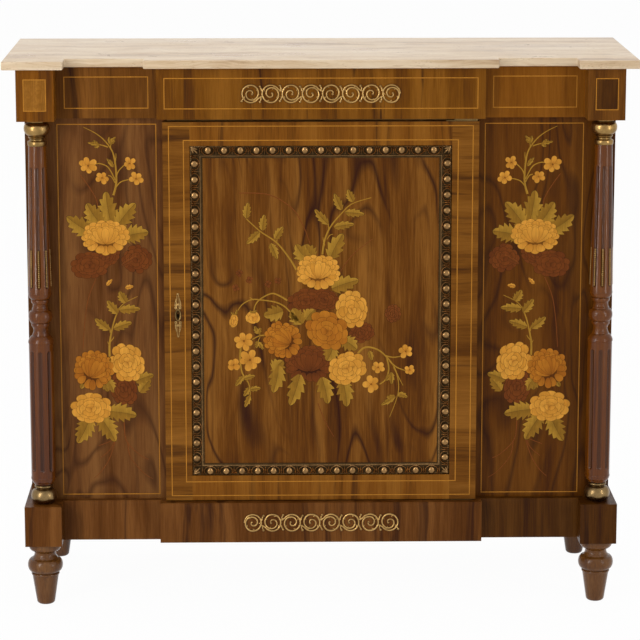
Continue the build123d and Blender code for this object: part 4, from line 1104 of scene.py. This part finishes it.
for name, mount, middle, flip, body in (("frieze_scroll", "frieze_mount", frieze_middle, -1, "drawer"),
                                        ("plinth_scroll", "plinth_mount", plinth_middle, 1, "carcass")):
    piece(name, scroll_mount(centre_face, middle, flip), brass, body, (mount,), 45)


# Egg-and-dart moulding round the door panel
moulding_half_width, moulding_low, moulding_high = 246, 249.7, 886
corner_run, eggs_across, eggs_upward = 19, 15, 20
egg_middle, hollow = 8.6, 1.2
# (inwards from the outer edge, forward of the panel, tint, which is painted shade in the hollows and a
# painted highlight on the bead)
moulding_section = [(0.3, -0.4, 0.25), (0.3, 1.2, 0.25), (1.2, 2.6, 0.4), (2.2, 3, 0.6), (3.2, 2.2, 0.2),
                    (8, 1.2, 0.16), (14, 1, 0.16), (17.6, 1.4, 0.25), (18.6, 2.8, 0.8), (19.6, 2.9, 1.1),
                    (20.6, 1.6, 0.25), (23.4, 1.2, 0.3), (23.8, -0.4, 0.5)]


def egg(shape, spot, step):
    """Half an egg in its husk. spot(u, v) is x and z, along the moulding and inwards from its edge."""
    rings, around, half = 5, 14, step * 0.235
    points, tints = [], []
    for ring in range(rings + 1):
        fall = pi / 2 * ring / rings
        rise = max(0, cos(fall))
        for turn in turns(around) if ring else [0]:
            narrow = 1 - 0.16 * max(0, sin(turn))
            x, z = spot(half * narrow * sin(fall) * cos(turn), egg_middle + 8 * sin(fall) * sin(turn))
            points.append((x, door_panel_face - (hollow + 5.7 * rise ** 0.8), z))
            # painted highlight on the crown of the egg, painted shade towards its rim
            tints.append((0.6 + 0.7 * rise ** 0.6,) * 3)
    faces = [(0, 1 + n, 1 + (n + 1) % around) for n in range(around)] + ring_faces(rings, around, 1)
    faces.append(tuple(reversed(range(1 + (rings - 1) * around, 1 + rings * around))))
    shape.add(points, faces, tints)
    husk = []
    for n in range(15):
        turn = radians(-35 + 250 * n / 14)
        husk.append(spot(step * 0.39 * cos(turn), egg_middle + 9.2 * sin(turn)))
    # the husk's tints, up to 2.2, are painted shade on its sides and a painted highlight on its crest
    shape.strand(husk, [1.3] * 15, door_panel_face - hollow, 2.4, 4, 0.3, 2.2)


def dart(shape, spot):
    """An arrow with its head at the outer edge."""
    head = [spot(-2.3, 2.6), spot(0, 6.4), spot(2.3, 2.6)]
    # the dart's tints, up to 2.6, are painted shade on its sides and painted highlights on its crests
    shape.strand(head, [0.9, 1.8, 0.9], door_panel_face - hollow, 2.2, 4, 0.4, 2.6)
    shape.strand([spot(0, 4), spot(0, 11), spot(0, 17)], [1.4, 1.3, 0.6], door_panel_face - 1, 1.9, 4,
                 0.35, 1.9)


def egg_row(shape, step, count, origin, direction, inward):
    """Eggs and the darts between them, along one side."""
    def placed(at):
        def spot(u, v):
            return tuple(o + d * (at + u) + i * v for o, d, i in zip(origin, direction, inward))
        return spot

    for k in range(count + 1):
        run = corner_run + step * k
        if k < count:
            egg(shape, placed(run + step / 2), step)
        dart(shape, placed(run))


def ornament_frame():
    shape = Shape()
    left, right, low, high = -moulding_half_width, moulding_half_width, moulding_low, moulding_high
    points, tints = [], []
    for inward, forward, shade in moulding_section:
        for x, z in ((left + inward, low + inward), (right - inward, low + inward),
                     (right - inward, high - inward), (left + inward, high - inward)):
            points.append((x, door_panel_face - forward, z))
            tints.append((shade, shade, shade))
    shape.add(points, ring_faces(len(moulding_section), 4, closed=True), tints)
    across = (right - left - 2 * corner_run) / eggs_across
    upward = (high - low - 2 * corner_run) / eggs_upward
    egg_row(shape, across, eggs_across, (left, high), (1, 0), (0, -1))
    egg_row(shape, across, eggs_across, (left, low), (1, 0), (0, 1))
    egg_row(shape, upward, eggs_upward, (left, low), (0, 1), (1, 0))
    egg_row(shape, upward, eggs_upward, (right, low), (0, 1), (-1, 0))
    for sx, x in ((1, left), (-1, right)):
        for sz, z in ((1, low), (-1, high)):
            for spread in (-24, 0, 24):
                angle = radians(45 + spread)
                line = [(x + sx * (2.5 + r * cos(angle)), z + sz * (2.5 + r * sin(angle)))
                        for r in (0, 6, 12, 17 if spread == 0 else 13.5)]
                # the corner leaves' tints paint shade on their sides and a highlight on their crests
                shape.strand(line, [1.2, 2.6, 2.2, 0.7], door_panel_face - hollow, 1.4, 5, 0.4, 1.2)
    return shape


piece("egg_and_dart", ornament_frame(), bronze, "door", ("door_moulding",), 45)


# Escutcheon
keyhole_x, keyhole_z = -270.5, 563.5


def keyhole_plate():
    shape = Shape()
    x0, z0, face, around = keyhole_x, keyhole_z, door_face, 36
    rings = []
    # the last value of each ring is its tint: a painted highlight on the raised rim, painted shade at its
    # edges
    for scale_x, scale_z, forward, shade in ((6.2, 12, 0, 0.3), (6.2, 12, 0.7, 0.4), (5.4, 11, 1.6, 1),
                                             (4.6, 10, 1.5, 0.6), (4, 9, 1, 0.2)):
        rings.append([(x0 + scale_x * cos(turn), face - forward, z0 + scale_z * sin(turn), shade)
                      for turn in turns(around)])
    # the keyhole, wider at its top, painted nearly black inside as shade
    for forward in (1, -0.2):
        rings.append([(x0 + (1 + 1.8 * (0.5 + 0.5 * sin(turn))) * cos(turn), face - forward,
                       z0 + 6 * sin(turn), 0.06) for turn in turns(around)])
    shape.add([(x, y, z) for ring in rings for x, y, z, shade in ring],
              ring_faces(len(rings), around, closed=True),
              [(shade,) * 3 for ring in rings for x, y, z, shade in ring])
    for up in (1, -1):
        for side in (-1, 1):
            for reach, out in ((42, 2.5), (32, 6), (22, 6.5)):
                line = curve_through([(x0 + side * 2.5, z0 + up * 12),
                                      (x0 + side * out * 0.9, z0 + up * 0.62 * reach),
                                      (x0 + side * out * 0.55, z0 + up * reach)], 5)
                radii = [1.3 - 0.7 * k / (len(line) - 1) for k in range(len(line))]
                # the strand tints 0.15 to 1.3 paint shade on the sides and a highlight on the crests
                shape.strand(line, radii, face + 0.05, 1.3, 6, 0.15, 1.3)
        shape.ball((x0, face - 0.8, z0 + up * 20), (2, 1.2, 3))
        shape.ball((x0, face - 0.8, z0 + up * 41), (1.6, 1.1, 1.9))
    return shape


piece("keyhole_plate", keyhole_plate(), brass, "door", ("escutcheon",), 45)


# Screws
def screw_head(shape, x, z, face, turn, radius=3.4):
    """A slotted head that faces the back: a disc with two half moons on it."""
    rim = [(x + radius * cos(angle), z + radius * sin(angle)) for angle in turns(24)]
    shape.prism(rim, face - 0.3, face + 0.5)
    slot = asin(0.5 / radius)
    for half in (0, pi):
        moon = []
        for k in range(11):
            angle = turn + half + slot + (pi - 2 * slot) * k / 10
            moon.append((x + 0.94 * radius * cos(angle), z + 0.94 * radius * sin(angle)))
        shape.prism(moon, face + 0.5, face + 1.1)


def screws(name, node, inset, columns, rows, body, radius):
    """Screws along the four edges of a node's rear face."""
    low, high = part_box(node)
    shape = Shape()
    for column in range(columns):
        for row in range(rows):
            if 0 < column < columns - 1 and 0 < row < rows - 1:
                continue
            x = low[0] / MM + inset + (high[0] - low[0] - 2 * inset * MM) / MM * column / (columns - 1)
            z = low[2] / MM + inset + (high[2] - low[2] - 2 * inset * MM) / MM * row / (rows - 1)
            screw_head(shape, x, z, high[1] / MM, pi * scatter(column * 7 + row), radius)
    piece(name, shape, steel, body, sharp=30)


screws("back_screws", "back_panel", 12, 7, 6, "carcass", 3.4)
screws("lock_screws", "lock_case", 5.5, 2, 2, "door", 2.4)

# Floor, light and camera
floor_mesh = bpy.data.meshes.new("floor")
reach = 40
floor_mesh.from_pydata([(-reach, -reach, 0), (reach, -reach, 0), (reach, reach, 0), (-reach, reach, 0)], [],
                       [(0, 1, 2, 3)])
floor = bpy.data.objects.new("floor", floor_mesh)
bpy.context.scene.collection.objects.link(floor)
floor_mesh.materials.append(paper)

ambient_level = 0.45
studio = Graph(bpy.data.worlds.new("studio"))
bpy.context.scene.world = studio.owner
ambient = studio.node("ShaderNodeBackground", {"Color": white, "Strength": ambient_level}).outputs[0]
backdrop = studio.node("ShaderNodeBackground", {"Color": white, "Strength": 1}).outputs[0]
chosen = studio.node("ShaderNodeMixShader", {0: studio.seen(), 1: ambient, 2: backdrop})
studio.finish(chosen, "ShaderNodeOutputWorld")


def softbox(name, place, aim, wide, high, power):
    data = bpy.data.lights.new(name, "AREA")
    data.shape = "RECTANGLE"
    data.size = wide
    data.size_y = high
    data.energy = power
    lamp = bpy.data.objects.new(name, data)
    bpy.context.scene.collection.objects.link(lamp)
    lamp.location = place
    lamp.rotation_euler = (Vector(aim) - Vector(place)).to_track_quat("-Z", "Y").to_euler()


softbox("key", (-2.6, -3.4, 2.6), (0, 0, 0.6), 1.6, 2.2, 26)
softbox("fill", (2.8, -3.6, 1.8), (0, 0, 0.6), 1.6, 2.2, 3)
softbox("left_strip", (-2.2, -2.4, 1), (0, -0.2, 0.6), 0.24, 2.4, 34)
softbox("right_strip", (2.4, -2.2, 1), (0, -0.2, 0.6), 0.20, 2.4, 17)
softbox("overhead", (0, 0.4, 4.2), (0, 0, 0.5), 3, 2, 54)

camera_data = bpy.data.cameras.new("camera")
camera_data.lens = 159.1
camera_data.sensor_width = 36
camera_data.clip_end = 200
camera = bpy.data.objects.new("camera", camera_data)
bpy.context.scene.collection.objects.link(camera)
# place in metres and angles in degrees, from the fit to the photograph
camera.location = (-0.10632, -5.40883, 1.62340)
pitch, yaw = radians(11.521), radians(1.14)
forward = Vector((sin(yaw) * cos(pitch), cos(yaw) * cos(pitch), -sin(pitch)))
camera.rotation_euler = forward.to_track_quat("-Z", "Y").to_euler()
bpy.context.scene.camera = camera
bpy.context.scene.view_settings.view_transform = "Standard"
